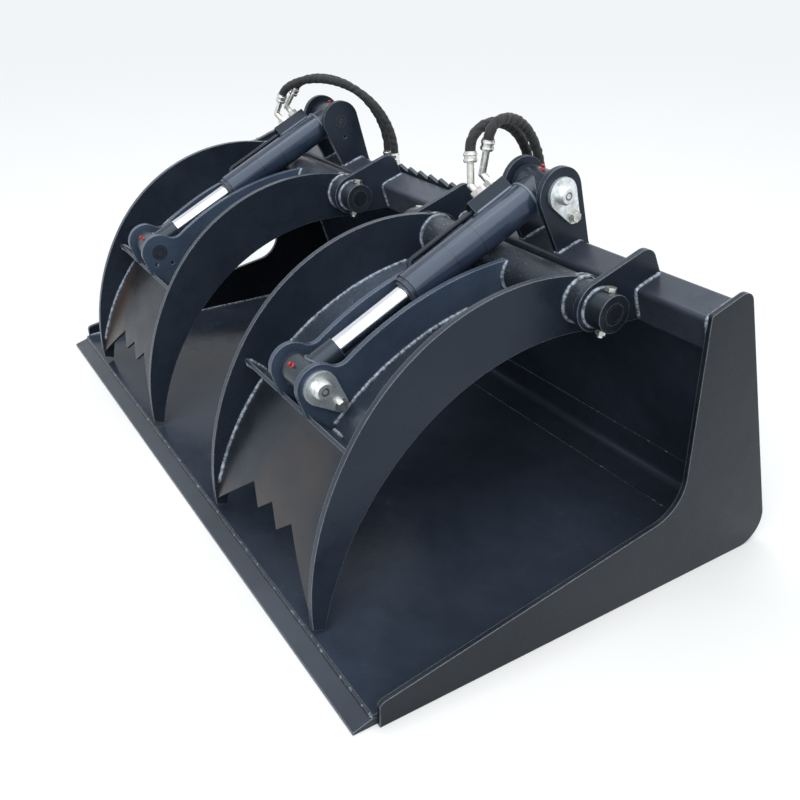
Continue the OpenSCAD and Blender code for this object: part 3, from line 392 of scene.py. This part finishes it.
def round_beam(x, start, stop):
    """Points over the beam's rounded edges, from below on its front to behind it."""
    outline = beam_bends + [(0.0, -0.022)]
    return [on_beam(x, *spot) for spot in outline[start:stop]]


def level_line(middle, half, back, up):
    """A straight line along the beam, on both sides of middle."""
    return [on_beam(middle - half, back, up), on_beam(middle + half, back, up)]


end_bead, end_in = 0.008, 0.001
beam_loop = beam_bends + beam_under + beam_bends[:1]
end_lines = [[on_beam(x, *spot) for spot in beam_loop] for x in (-inner_x + end_in, inner_x - end_in)]
weld_run("beam_end_welds", end_lines, end_bead, "root", highlighted_bead_paint)
weld_run("beam_back_weld", [level_line(0.0, inner_x, 0.001, -0.0745)], fine_bead, "root", seam_paint)

# Serrated step: a flat bar with teeth cut in its upper edge, standing on the back
# plate behind the beam, so that a boot grips it. Short welds hold it.
step_paint = sprayed_steel("step_paint", (0.029, 0.035, 0.046), gloss=0.34, patches=0.3, dust=0.3, edge=1.0)
finish_with(step_paint, "serrated_step")
step_end, step_first, step_pitch, step_stitch = 0.2355, -0.205, 0.1025, 0.018
step_lines = [level_line(step_first + k * step_pitch, step_stitch, 0.0092, -0.0195) for k in range(5)]
for x in (-step_end, step_end):
    step_lines.append([on_beam(x, 0.001, -0.004), on_beam(x, 0.001, -0.018)])
weld_run("step_welds", step_lines, fine_bead, "root", highlighted_bead_paint)

# Attachment plate: lies flat on the leaning back, with a lip above and below for
# the loader's quick coupler and two locking slots. Stitched with short welds.
attach_paint = sprayed_steel("attach_paint", (0.0190, 0.0240, 0.0335), gloss=0.36, patches=0.4, dust=0.3,
                             edge=0.7)
finish_with(attach_paint, "attachment_plate")
attach_side, attach_top, attach_foot, attach_back = 0.5655, -0.1115, -0.4845, 0.0095
attach_first, attach_pitch = -0.48, 0.16
upright_stitch, level_stitch, attach_bead = 0.025, 0.03, 0.007
attach_lines = []
for x in (-attach_side, attach_side):
    for up in (-0.16, -0.26, -0.36, -0.45):
        attach_lines.append([on_beam(x, attach_back, up + way) for way in (upright_stitch, -upright_stitch)])
for k in range(7):
    for up in (attach_top, attach_foot):
        attach_lines.append(level_line(attach_first + k * attach_pitch, level_stitch, attach_back, up))
weld_run("attach_welds", attach_lines, attach_bead, "root", highlighted_bead_paint)

# Hinge ears: four thick plates hooked over the beam, welded along its front and
# top. They carry the two shafts on which the grapples swing.
ear_paint = sprayed_steel("ear_paint", (0.0210, 0.0285, 0.0430), gloss=0.31, patches=0.35, dust=0.25,
                          edge=0.8)
sides = {"left": -1, "right": 1}
for side_name in sides:
    finish_with(ear_paint, f"hinge_ear_{side_name}_outer", f"hinge_ear_{side_name}_inner")
pivots = {joint["name"]: joint["pos_m"] for joint in frame["joints"] if "pos_m" in joint}
grapple_x, hinge_y, hinge_z = pivots["grapple_hinge_right"]
ear_faces = (-0.2875, -0.2725, 0.2725, 0.2875)
ear_lines = []
for side in sides.values():
    for x in ear_faces:
        ear_lines.append(round_beam(side * grapple_x + x, 0, 5))
weld_run("ear_welds", ear_lines, bead, "root", highlighted_bead_paint)


# Shafts and collars: a collar outside each ear is cross bolted to the shaft and
# welded to the ear. The painted shaft end shows inside a thin dark joint.
def ring_line(x, middle_y, middle_z, radius, start=0.0, stop=360.0, steps=40):
    line = []
    for k in range(steps + 1):
        turn = math.radians(start + (stop - start) * k / steps)
        line.append((x, middle_y + radius * math.cos(turn), middle_z + radius * math.sin(turn)))
    return line


collar_paint = sprayed_steel("collar_paint", (0.0180, 0.0225, 0.0305), gloss=0.29, patches=0.4, dust=0.3,
                             edge=0.7)
finish_with(collar_paint, "hinge_collars")
shaft_paint = sprayed_steel("shaft_paint", (0.0120, 0.0140, 0.0180), gloss=0.30, patches=0.3, dust=0.2,
                            edge=0.8)
finish_with(shaft_paint, "hinge_shafts")
joint_black = sprayed_steel("joint_black", (0.004, 0.0045, 0.005), gloss=0.55, patches=0.3, dust=0.0, edge=0)
collar_in, collar_out = 0.2878, 0.3290
collar_r, shaft_r, centre_r = 0.0365, 0.0212, 0.0150
collar_bead, shaft_gap = 0.008, 0.0013
collar_lines, joint_lines = [], []
for side in sides.values():
    middle = side * grapple_x
    for way in (-1, 1):
        collar_lines.append(ring_line(middle + way * collar_in, hinge_y, hinge_z, collar_r))
        for radius in (shaft_r, centre_r):
            joint_lines.append(ring_line(middle + way * collar_out, hinge_y, hinge_z, radius))
weld_run("collar_welds", collar_lines, collar_bead, "root", highlighted_bead_paint)
weld_run("shaft_joints", joint_lines, shaft_gap, "root", joint_black)


# Collar bolts: zinc plated bolts with nuts, one straight through each collar and
# shaft. The plating is a little cloudy, and duller where it tarnished.
def two_tone(tree, value, dark, light, start=0.0, stop=1.0):
    """A colour that goes from dark to light while value goes from start to stop."""
    ramp = add_node(tree, "ValToRGB", {0: value})
    for knot, place, tone in zip(ramp.color_ramp.elements, (start, stop), (dark, light)):
        knot.position = place
        knot.color = (*tone, 1)
    return ramp.outputs[0]


def plated_zinc(name, colour, rough=0.30):
    made, tree, coat = new_finish(name)
    where = place_on(tree)
    cloud = noise(tree, where, 60.0, 5.0, 0.65)
    tarnished = (colour[0] * 0.50, colour[1] * 0.50, colour[2] * 0.48)
    tree.links.new(two_tone(tree, cloud, tarnished, colour, 0.30, 0.62), coat.inputs["Base Color"])
    coat.inputs["Metallic"].default_value = 1.0
    tree.links.new(stretch(tree, cloud, 0.3, 0.7, rough + 0.16, rough - 0.06), coat.inputs["Roughness"])
    soften = add_node(tree, "Bevel", {"Radius": 0.0012}, samples=3).outputs[0]
    emboss(tree, coat, noise(tree, where, 700.0, 2.0), 0.25, 0.0004, soften)
    return made


zinc = plated_zinc("zinc_plate", (0.66, 0.67, 0.64))
finish_with(zinc, "collar_bolts", "base_pin_bolts", "lug_pin_bolt_left", "lug_pin_bolt_right")

# Cylinder ears: a pair of upright plates behind each grapple, welded on top of the
# beam and down behind it. The flag pin between them holds the cylinder's base.
cylinder_ear_paint = sprayed_steel("cylinder_ear_paint", (0.0205, 0.0275, 0.0410), gloss=0.31, patches=0.35,
                                   dust=0.25, edge=0.7)
finish_with(cylinder_ear_paint, "cylinder_ears_left", "cylinder_ears_right")
base_pin_y, base_pin_z = pivots["cylinder_swing_right"][1:]
stand_faces = (-0.0635, -0.0485, 0.0485, 0.0635)
stand_middle, stand_half = 0.056, 0.006
stand_ends = ((-0.0655, 0.0005), (0.0165, -0.0195))
stand_lines = []
for side in sides.values():
    middle = side * grapple_x
    for x in stand_faces:
        stand_lines.append(round_beam(middle + x, 3, 8))
    for back, up in stand_ends:
        for x in (-stand_middle, stand_middle):
            stand_lines.append(level_line(middle + x, stand_half, back, up))
weld_run("cylinder_ear_welds", stand_lines, bead, "root", highlighted_bead_paint)

# Base pins: turned pins with a zinc plated flag that one small bolt keeps from
# turning. The far end of each pin is flush with the inboard ear, in a thin joint.
flag_zinc = plated_zinc("flag_zinc", (0.88, 0.93, 0.95), rough=0.46)
finish_with(flag_zinc, "base_pins", "lug_pin_left", "lug_pin_right")
# the inboard ends were sprayed over with the ears and lugs
pin_tree = flag_zinc.node_tree
pin_x = coordinate(pin_tree, place_on(pin_tree), "X")
pin_dark = maths(pin_tree, "LESS_THAN", maths(pin_tree, "ABSOLUTE", pin_x), grapple_x)
cover(flag_zinc, pin_dark, (0.020, 0.026, 0.038, 1))
pin_metal = maths(pin_tree, "SUBTRACT", 1.0, pin_dark)
pin_tree.links.new(pin_metal, pin_tree.nodes["Principled BSDF"].inputs["Metallic"])


def turned_piece(name, profile, spot, axis, body, material, around=40):
    """A turned piece: profile holds (height along the axis, radius) from foot to top."""
    axis = Vector(axis).normalized()
    side = axis.orthogonal().normalized()
    points = []
    for height, radius in profile:
        points += ring_round(Vector(spot) + axis * height, side, axis.cross(side), radius, around)
    made = new_piece(name, points, tube_skin(0, len(profile), around), material, flat_ends=True)
    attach(made, body)


# the dimple is a shallow dish in dark zinc: painted shade for the hollow in the pin's head
dimple_shade_zinc = plated_zinc("dimple_shade_zinc", (0.22, 0.23, 0.23), rough=0.42)
dimple = [(-0.001, 0.0085), (0.0003, 0.0083), (0.0005, 0.0070), (0.0001, 0.0045), (0.0001, 0.0010)]
ear_out, flag_thick, head_high = 0.062, 0.008, 0.015
joint_radii, pin_gap, trim_lift = (0.0192, 0.0110), 0.0014, 0.0002


def pin_ends(pin_name, side_name, side, pin_y, pin_z, body):
    """The dimple in a flag pin's head, in dark zinc as painted shade, and the thin joint round its flush far
    end.
    """
    head_x = side * (grapple_x + ear_out + flag_thick + head_high - trim_lift)
    turned_piece(f"{pin_name}_dimple_{side_name}", dimple, (head_x, pin_y, pin_z), (side, 0, 0), body,
                 dimple_shade_zinc)
    flush_x = side * (grapple_x - ear_out - trim_lift)
    joints = [ring_line(flush_x, pin_y, pin_z, radius) for radius in joint_radii]
    weld_run(f"{pin_name}_joint_{side_name}", joints, pin_gap, body, joint_black)


for side_name, side in sides.items():
    pin_ends("base_pin", side_name, side, base_pin_y, base_pin_z, "root")

# Grapple arms: four thick crescent plates cut from flat steel, two for each
# grapple, welded to the pivot tube and to the edges of the rolled claw plate.
arm_paint = sprayed_steel("arm_paint", (0.0195, 0.0262, 0.0385), gloss=0.27, patches=0.2, dust=0.15, edge=0.9)
finish_with(arm_paint, "arm_left_outer", "arm_left_inner", "arm_right_outer", "arm_right_inner")
# Claw plates are rolled sheet with two small teeth cut in the lower edge. Spray dust
# from the gun dried on them as fine pale specks.
claw_paint = sprayed_steel("claw_paint", (0.0430, 0.0560, 0.0790), gloss=0.31, patches=0.40, dust=0.30,
                           specks=0.75, edge=0.6)
finish_with(claw_paint, "claw_plate_left", "claw_plate_right")
# Below the cross rib the plate was rubbed smooth, and the paint there is browner.
claw_tree = claw_paint.node_tree
claw_place = place_on(claw_tree)
claw_low = stretch(claw_tree, coordinate(claw_tree, claw_place, "Z"), 0.305, 0.335, 0.92, 0.0)
claw_brown = stretch(claw_tree, noise(claw_tree, claw_place, 4.2, 2.0, 0.4), 0.46, 0.66)
claw_tone = mix(claw_tree, claw_brown, (0.0100, 0.0125, 0.0165, 1), (0.0430, 0.0285, 0.0205, 1))
cover(claw_paint, claw_low, claw_tone)
rib_paint = sprayed_steel("rib_paint", (0.0230, 0.0290, 0.0400), gloss=0.32, patches=0.4, dust=0.3, edge=0.9)
finish_with(rib_paint, "cross_rib_left", "cross_rib_right")
# Lugs stand on the claw plate in pairs and hold the lug pin; the pivot tube runs
# through the arms, rough where the spray dried on it.
lug_paint = sprayed_steel("lug_paint", (0.0600, 0.0850, 0.1290), gloss=0.26, patches=0.35, dust=0.25,
                          edge=0.8)
finish_with(lug_paint, "lugs_left", "lugs_right")
tube_paint = sprayed_steel("tube_paint", (0.0300, 0.0355, 0.0450), gloss=0.34, patches=0.5, dust=0.4,
                           specks=0.9, swirl=0.5)
finish_with(tube_paint, "pivot_tube_left", "pivot_tube_right")
claw_y, claw_z, claw_r = 0.537493, -0.072807, 0.587293
rib_angle = 137
rib_turn = math.radians(rib_angle)
rib_beside = Vector((0, -math.sin(rib_turn), math.cos(rib_turn)))


def on_claw(x, angle, rise):
    turn, out = math.radians(angle), claw_r + rise
    return Vector((x, claw_y + out * math.cos(turn), claw_z + out * math.sin(turn)))


def claw_line(x, start, stop, rise, steps=36):
    return [on_claw(x, start + (stop - start) * k / steps, rise) for k in range(steps + 1)]


arm_near, arm_far = 0.2275, 0.2425
lug_faces = (-0.0638, -0.0482, 0.0482, 0.0638)
tube_r = 0.0430
rib_stitches = ((-0.226, -0.150), (-0.105, -0.066), (-0.046, 0.046), (0.066, 0.105), (0.150, 0.226))
for side_name, side in sides.items():
    middle = side * grapple_x
    body = f"grapple_{side_name}"
    lines = []
    for x in (middle - arm_near, middle + arm_near):
        lines.append(claw_line(x, 97, rib_angle - 1.0, 0.0015))
        lines.append(claw_line(x, rib_angle + 1.3, 163.5, 0.0015))
        lines.append(claw_line(x, 96, 164, -0.0095))
        for way in (-0.0052, 0.0052):
            lines.append([on_claw(x, rib_angle, rise) + way * rib_beside for rise in (0.002, 0.056)])
    for x in lug_faces:
        lines.append(claw_line(middle + x, 101, 136.2, 0.002))
        lines.append(ring_line(middle + x, hinge_y, hinge_z, tube_r, rib_angle, 258, 24))
    for way in (-0.0055, 0.0055):
        for stitch in rib_stitches:
            lines.append([on_claw(middle + x, rib_angle, 0.0015) + way * rib_beside for x in stitch])
    for x in (-arm_far, -arm_near, arm_near, arm_far):
        lines.append(ring_line(middle + x, hinge_y, hinge_z, tube_r))
    weld_run(f"grapple_welds_{side_name}", lines, bead, body, highlighted_bead_paint)

# Lug pins: the same flag pins as at the base, through the lugs and the rod's eye.
# Their flags are bolted to the lugs, so they swing with the grapple.
lug_pin_y, lug_pin_z = 0.090318, 0.423831
for side_name, side in sides.items():
    pin_ends("lug_pin", side_name, side, lug_pin_y, lug_pin_z, f"grapple_{side_name}")

# Hydraulic cylinders: a welded barrel with its eye, port block and oil line, a gland
# and a chromed rod that ends in an eye. Sprayed glossy blue grey, with two faint
# turned rings round the barrel where the paint dips.
along = Vector((0.0, -0.8953, -0.4455))
across = Vector((0.0, -0.4455, 0.8953))
port_up = Vector((-0.7071, -0.3150, 0.6331))
port_side = along.cross(port_up)
barrel_paint = sprayed_steel("barrel_paint", (0.0290, 0.0420, 0.0700), gloss=0.17, patches=0.25, dust=0.10)
barrel_tree = barrel_paint.node_tree
walk = dot(barrel_tree, place_on(barrel_tree), tuple(along))
base_at = -0.88372  # how far along the axis the base pins are
for ring_at in (0.184, 0.250):
    beyond = maths(barrel_tree, "SUBTRACT", walk, base_at + ring_at)
    dip = stretch(barrel_tree, maths(barrel_tree, "ABSOLUTE", beyond), 0.0006, 0.0014, 0.75, 0.0)
    cover(barrel_paint, dip, (0.010, 0.012, 0.015, 1))
varnish(barrel_paint, 0.25, 0.06)
cylinder_paint = sprayed_steel("cylinder_paint", (0.0260, 0.0330, 0.0460), gloss=0.23, patches=0.3, dust=0.18,
                               edge=0.7)
port_paint = sprayed_steel("port_paint", (0.0070, 0.0090, 0.0125), gloss=0.24, patches=0.3, dust=0.06)
port_paint.node_tree.nodes["Principled BSDF"].inputs["Specular Tint"].default_value = (0.42, 0.52, 0.66, 1)
chrome, chrome_tree, chrome_coat = new_finish("chrome_rod")
chrome_coat.inputs["Metallic"].default_value = 1.0
rod_place = place_on(chrome_tree)
rod_walk = {"W": dot(chrome_tree, rod_place, tuple(along)), "Scale": 900.0, "Detail": 2.0}
rod_rings = add_node(chrome_tree, "TexNoise", rod_walk, noise_dimensions="1D").outputs["Fac"]
rod_cloud = noise(chrome_tree, rod_place, 30.0, 3.0)
rod_tint = two_tone(chrome_tree, rod_cloud, (0.58, 0.62, 0.69), (0.84, 0.87, 0.92))
rod_rise = coordinate(chrome_tree, place_on(chrome_tree, "Normal"), "Z")
# faces that look down get a darker colour: painted shade on the rod's underside
rod_underside_shade = stretch(chrome_tree, rod_rise, -0.75, 0.35, 0.22, 1.0)
chrome_tree.links.new(scaled(chrome_tree, rod_tint, rod_underside_shade), chrome_coat.inputs["Base Color"])
chrome_tree.links.new(stretch(chrome_tree, rod_rings, 0.0, 1.0, 0.10, 0.20), chrome_coat.inputs["Roughness"])
emboss(chrome_tree, chrome_coat, rod_rings, 0.10, 0.0002)
for side_name in sides:
    finish_with(barrel_paint, f"barrel_{side_name}")
    finish_with(cylinder_paint, f"base_eye_{side_name}", f"gland_{side_name}", f"rod_eye_{side_name}")
    finish_with(port_paint, f"port_block_{side_name}", f"oil_line_{side_name}")
    finish_with(chrome, f"rod_{side_name}")
    finish_with(zinc, f"piston_{side_name}")
# the cylinders' beads are painted much lighter than the barrel: a painted highlight of the light their
# ripples catch
highlighted_cylinder_bead = sprayed_steel("highlighted_cylinder_bead", (0.160, 0.185, 0.225), gloss=0.24, patches=0.4, dust=0.1,
                              specks=0.3, edge=0)
barrel_foot, eye_reach = 0.0445, 0.614036
port_ends, port_far, port_rise, port_far_rise = (0.053, 0.147), 0.1488, 0.0352, 0.0362
cylinder_seam = 0.0065
barrel_foot_r, rod_foot_r, eye_r = 0.0375, 0.0255, 0.032
crosswise = Vector((1, 0, 0))
ring_turns = [2 * math.pi * k / 48 for k in range(49)]


def on_cylinder(base, reach, radius, turn):
    """A point round the cylinder's axis, reach away from its base pin."""
    return base + along * reach + radius * (math.cos(turn) * crosswise + math.sin(turn) * across)


for side_name, side in sides.items():
    base = Vector((side * grapple_x, base_pin_y, base_pin_z))
    lines = [[on_cylinder(base, barrel_foot, barrel_foot_r, turn) for turn in ring_turns]]
    for way in (-0.0150, 0.0150):
        lines.append([base + along * reach + port_up * port_rise + port_side * way for reach in port_ends])
    port_end = base + along * port_far + port_up * port_far_rise
    lines.append([port_end + port_side * way for way in (-0.012, 0.0, 0.012)])
    weld_run(f"barrel_welds_{side_name}", lines, cylinder_seam, f"barrel_{side_name}", highlighted_cylinder_bead)
    saddle = []
    for turn in ring_turns:
        reach = eye_reach - math.sqrt(eye_r ** 2 - (rod_foot_r * math.sin(turn)) ** 2)
        saddle.append(on_cylinder(base, reach, rod_foot_r, turn))
    weld_run(f"rod_eye_weld_{side_name}", [saddle], fine_bead, f"rod_{side_name}", highlighted_cylinder_bead)

# Grease nipples with red plastic caps, one on top of each eye. They are screwed into
# the eyes, so that a grease gun reaches the pins.
red_cap, red_tree, red_coat = new_finish("red_cap")
red_noise = noise(red_tree, place_on(red_tree), 240.0, 3.0)
red_tone = two_tone(red_tree, red_noise, (0.30, 0.012, 0.012), (0.60, 0.035, 0.030))
red_tree.links.new(red_tone, red_coat.inputs["Base Color"])
red_coat.inputs["Roughness"].default_value = 0.42
emboss(red_tree, red_coat, red_noise, 0.2, 0.0005)
cap_profile = [(-0.003, 0.0052), (0.0010, 0.0052), (0.0014, 0.0046), (0.0020, 0.0030), (0.0062, 0.0030),
               (0.0068, 0.0042), (0.0085, 0.0042), (0.0094, 0.0030), (0.0096, 0.0008)]
base_eye_r = 0.038
base_up = (across * 0.92 - along * 0.38).normalized()
eye_up = (across * 0.96 + along * 0.28).normalized()
for side_name, side in sides.items():
    base = Vector((side * grapple_x, base_pin_y, base_pin_z))
    base_top = base + base_up * base_eye_r + crosswise * 0.006
    turned_piece(f"base_cap_{side_name}", cap_profile, base_top, base_up, f"barrel_{side_name}", red_cap,
                 20)
    eye_top = base + along * eye_reach + eye_up * eye_r - crosswise * 0.004
    turned_piece(f"rod_cap_{side_name}", cap_profile, eye_top, eye_up, f"rod_{side_name}", red_cap,
                 20)

# Hose brackets and plated fittings: a small welded shelf behind the beam carries two
# couplers, and two bent fittings screw into each cylinder's port block.
bracket_paint = sprayed_steel("bracket_paint", (0.0150, 0.0185, 0.0245), gloss=0.34, dust=0.3, edge=0.7)
finish_with(bracket_paint, "hose_brackets")
fitting_zinc = plated_zinc("fitting_zinc", (0.78, 0.78, 0.75), rough=0.24)
finish_with(fitting_zinc, "hose_couplers", "hose_fittings_left", "hose_fittings_right")
shelf_lines = [level_line(x, 0.033, 0.002, -0.0095) for x in (-0.294, 0.325)]
weld_run("bracket_welds", shelf_lines, fine_bead, "root", highlighted_bead_paint)
# each hose's upper crimp on its fitting, as foot and direction, and its coupler's x
coupler_y, coupler_z = 0.7414, 0.5985
crimps = {
    "left_front": ((-0.5113, 0.5174, 0.7438), (0.342, 0.227, 0.912), -0.276),
    "left_rear": ((-0.5141, 0.5558, 0.7591), (0.276, 0.421, 0.864), -0.312),
    "right_front": ((0.3813, 0.5152, 0.7488), (-0.174, 0.069, 0.982), 0.307),
    "right_rear": ((0.3927, 0.5455, 0.7719), (0.139, 0.069, 0.988), 0.343),
}
band_steel = plated_zinc("band_steel", (0.82, 0.83, 0.82), rough=0.18)
band = [(-0.0030, 0.0122), (-0.0028, 0.0137), (-0.0016, 0.0141), (0.0016, 0.0141), (0.0028, 0.0137),
        (0.0030, 0.0122)]
band_heights = {1: 0.0045, 2: 0.0160}
for hose_name, (port_foot, port_way, coupler_x) in crimps.items():
    barrel_body = "barrel_" + hose_name.split("_")[0]
    coupler_foot = (coupler_x, coupler_y, coupler_z)
    ends = (("port", port_foot, port_way, barrel_body), ("coupler", coupler_foot, (0, 0, 1), "root"))
    for end_name, foot, way, body in ends:
        way = Vector(way).normalized()
        for number, height in band_heights.items():
            spot = Vector(foot) + way * height
            band_name = f"band_{hose_name}_{end_name}_{number}"
            turned_piece(band_name, band, spot, way, body, band_steel, 32)

# Hoses: two for each cylinder, from its fittings over to the couplers behind the
# beam. Each runs inside a loose woven nylon sleeve that creases where it bends.
sleeve, sleeve_tree, sleeve_coat = new_finish("hose_sleeve")
sleeve_uv = place_on(sleeve_tree, "UV")
yarns = []
for lean_way in (0.7854, -0.7854):
    values = {"Vector": sleeve_uv, "Angle": lean_way}
    turned = add_node(sleeve_tree, "VectorRotate", values, rotation_type="Z_AXIS").outputs[0]
    yarn = add_node(sleeve_tree, "TexWave", {"Vector": turned, "Scale": 150.0, "Distortion": 0.3})
    yarns.append(yarn.outputs["Fac"])
weave = maths(sleeve_tree, "MAXIMUM", *yarns)
lint = noise(sleeve_tree, place_on(sleeve_tree), 26.0, 5.0, 0.7)
sleeve_tone = two_tone(sleeve_tree, lint, (0.0055, 0.0055, 0.0065), (0.026, 0.027, 0.030), 0.35, 0.75)
sleeve_tree.links.new(sleeve_tone, sleeve_coat.inputs["Base Color"])
sleeve_coat.inputs["Roughness"].default_value = 0.72
sleeve_coat.inputs["Sheen Weight"].default_value = 0.25
sleeve_coat.inputs["Sheen Roughness"].default_value = 0.4
emboss(sleeve_tree, sleeve_coat, weave, 0.55, 0.0006)
# the points a hose is drawn to, from its upper crimp on; it ends over its coupler
routes = {
    "left_front": [(-0.5037, 0.5224, 0.7642), (-0.494, 0.529, 0.790), (-0.470, 0.565, 0.815),
                   (-0.370, 0.655, 0.850), (-0.278, 0.740, 0.745)],
    "left_rear": [(-0.508, 0.5652, 0.7784), (-0.501, 0.575, 0.799), (-0.490, 0.615, 0.815),
                  (-0.400, 0.695, 0.830), (-0.314, 0.740, 0.730)],
    "right_front": [(0.3775, 0.5168, 0.7707), (0.372, 0.519, 0.804), (0.368, 0.535, 0.830),
                    (0.330, 0.675, 0.850), (0.307, 0.741, 0.740)],
    "right_rear": [(0.3958, 0.547, 0.7939), (0.401, 0.549, 0.828), (0.386, 0.575, 0.835),
                   (0.362, 0.675, 0.855), (0.343, 0.741, 0.740)],
}
coupler_top = 0.6207
rings, around = 220, 28
sleeve_r, sleeve_girth = 0.0108, 0.067
crease_deep, pinch_deep, calm_end = 0.00050, 0.0016, 0.03


def on_route(points, t):
    points = [Vector(point) for point in points]
    while len(points) > 1:
        points = [points[k].lerp(points[k + 1], t) for k in range(len(points) - 1)]
    return points[0]


def sleeve_rings(line, length, waves):
    """Rings of points round line, with soft creases and a few sharp pinches."""
    points, walked = [], 0.0
    side = crosswise
    for k, middle in enumerate(line):
        tangent = (line[min(k + 1, rings)] - line[max(k - 1, 0)]).normalized()
        side = (side - tangent * side.dot(tangent)).normalized()
        other = tangent.cross(side)
        if k:
            walked += (middle - line[k - 1]).length
        ease = min(1.0, min(walked, length - walked) / calm_end)
        for j in range(around):
            turn = 2 * math.pi * j / around
            crease = sum(size * math.sin(pace * walked + count * turn + start)
                         for pace, count, start, size in waves)
            fold = walked * 150 + 1.9 * math.sin(turn + waves[0][2]) + 0.8 * math.sin(walked * 47)
            pinch = 1 - abs(math.sin(fold))
            radius = sleeve_r + crease_deep * ease * crease - pinch_deep * ease * pinch ** 3
            points.append(middle + radius * (math.cos(turn) * side + math.sin(turn) * other))
    return points


def unroll(mesh, length):
    """Lay the weave flat on the sleeve: across its girth and along its length."""
    sheet_map = mesh.uv_layers.new(name="sleeve")
    for face in mesh.polygons:
        closing = len(face.vertices) == 4 and any(v % around == around - 1 for v in face.vertices)
        for corner in face.loop_indices:
            vertex = mesh.loops[corner].vertex_index
            j = vertex % around
            if j == 0 and closing:
                j = around
            sheet_map.data[corner].uv = (j / around * sleeve_girth, (vertex // around) / rings * length)


for hose_name, bends in routes.items():
    side_name = hose_name.split("_")[0]
    route = [*bends, (crimps[hose_name][2], coupler_y, coupler_top)]
    dice = random.Random(len(route) + sum(ord(letter) for letter in hose_name))
    waves = [(dice.uniform(150, 420), dice.randint(1, 3), dice.uniform(0, 6.28), dice.uniform(0.25, 0.55))
             for _ in range(6)]
    line = [on_route(route, k / rings) for k in range(rings + 1)]
    length = sum((line[k + 1] - line[k]).length for k in range(rings))
    skin = tube_skin(0, rings + 1, around)
    piece = new_piece(f"sleeve_{hose_name}", sleeve_rings(line, length, waves), skin, sleeve)
    unroll(piece.data, length)
    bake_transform(piece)
    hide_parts(f"hose_{hose_name}")
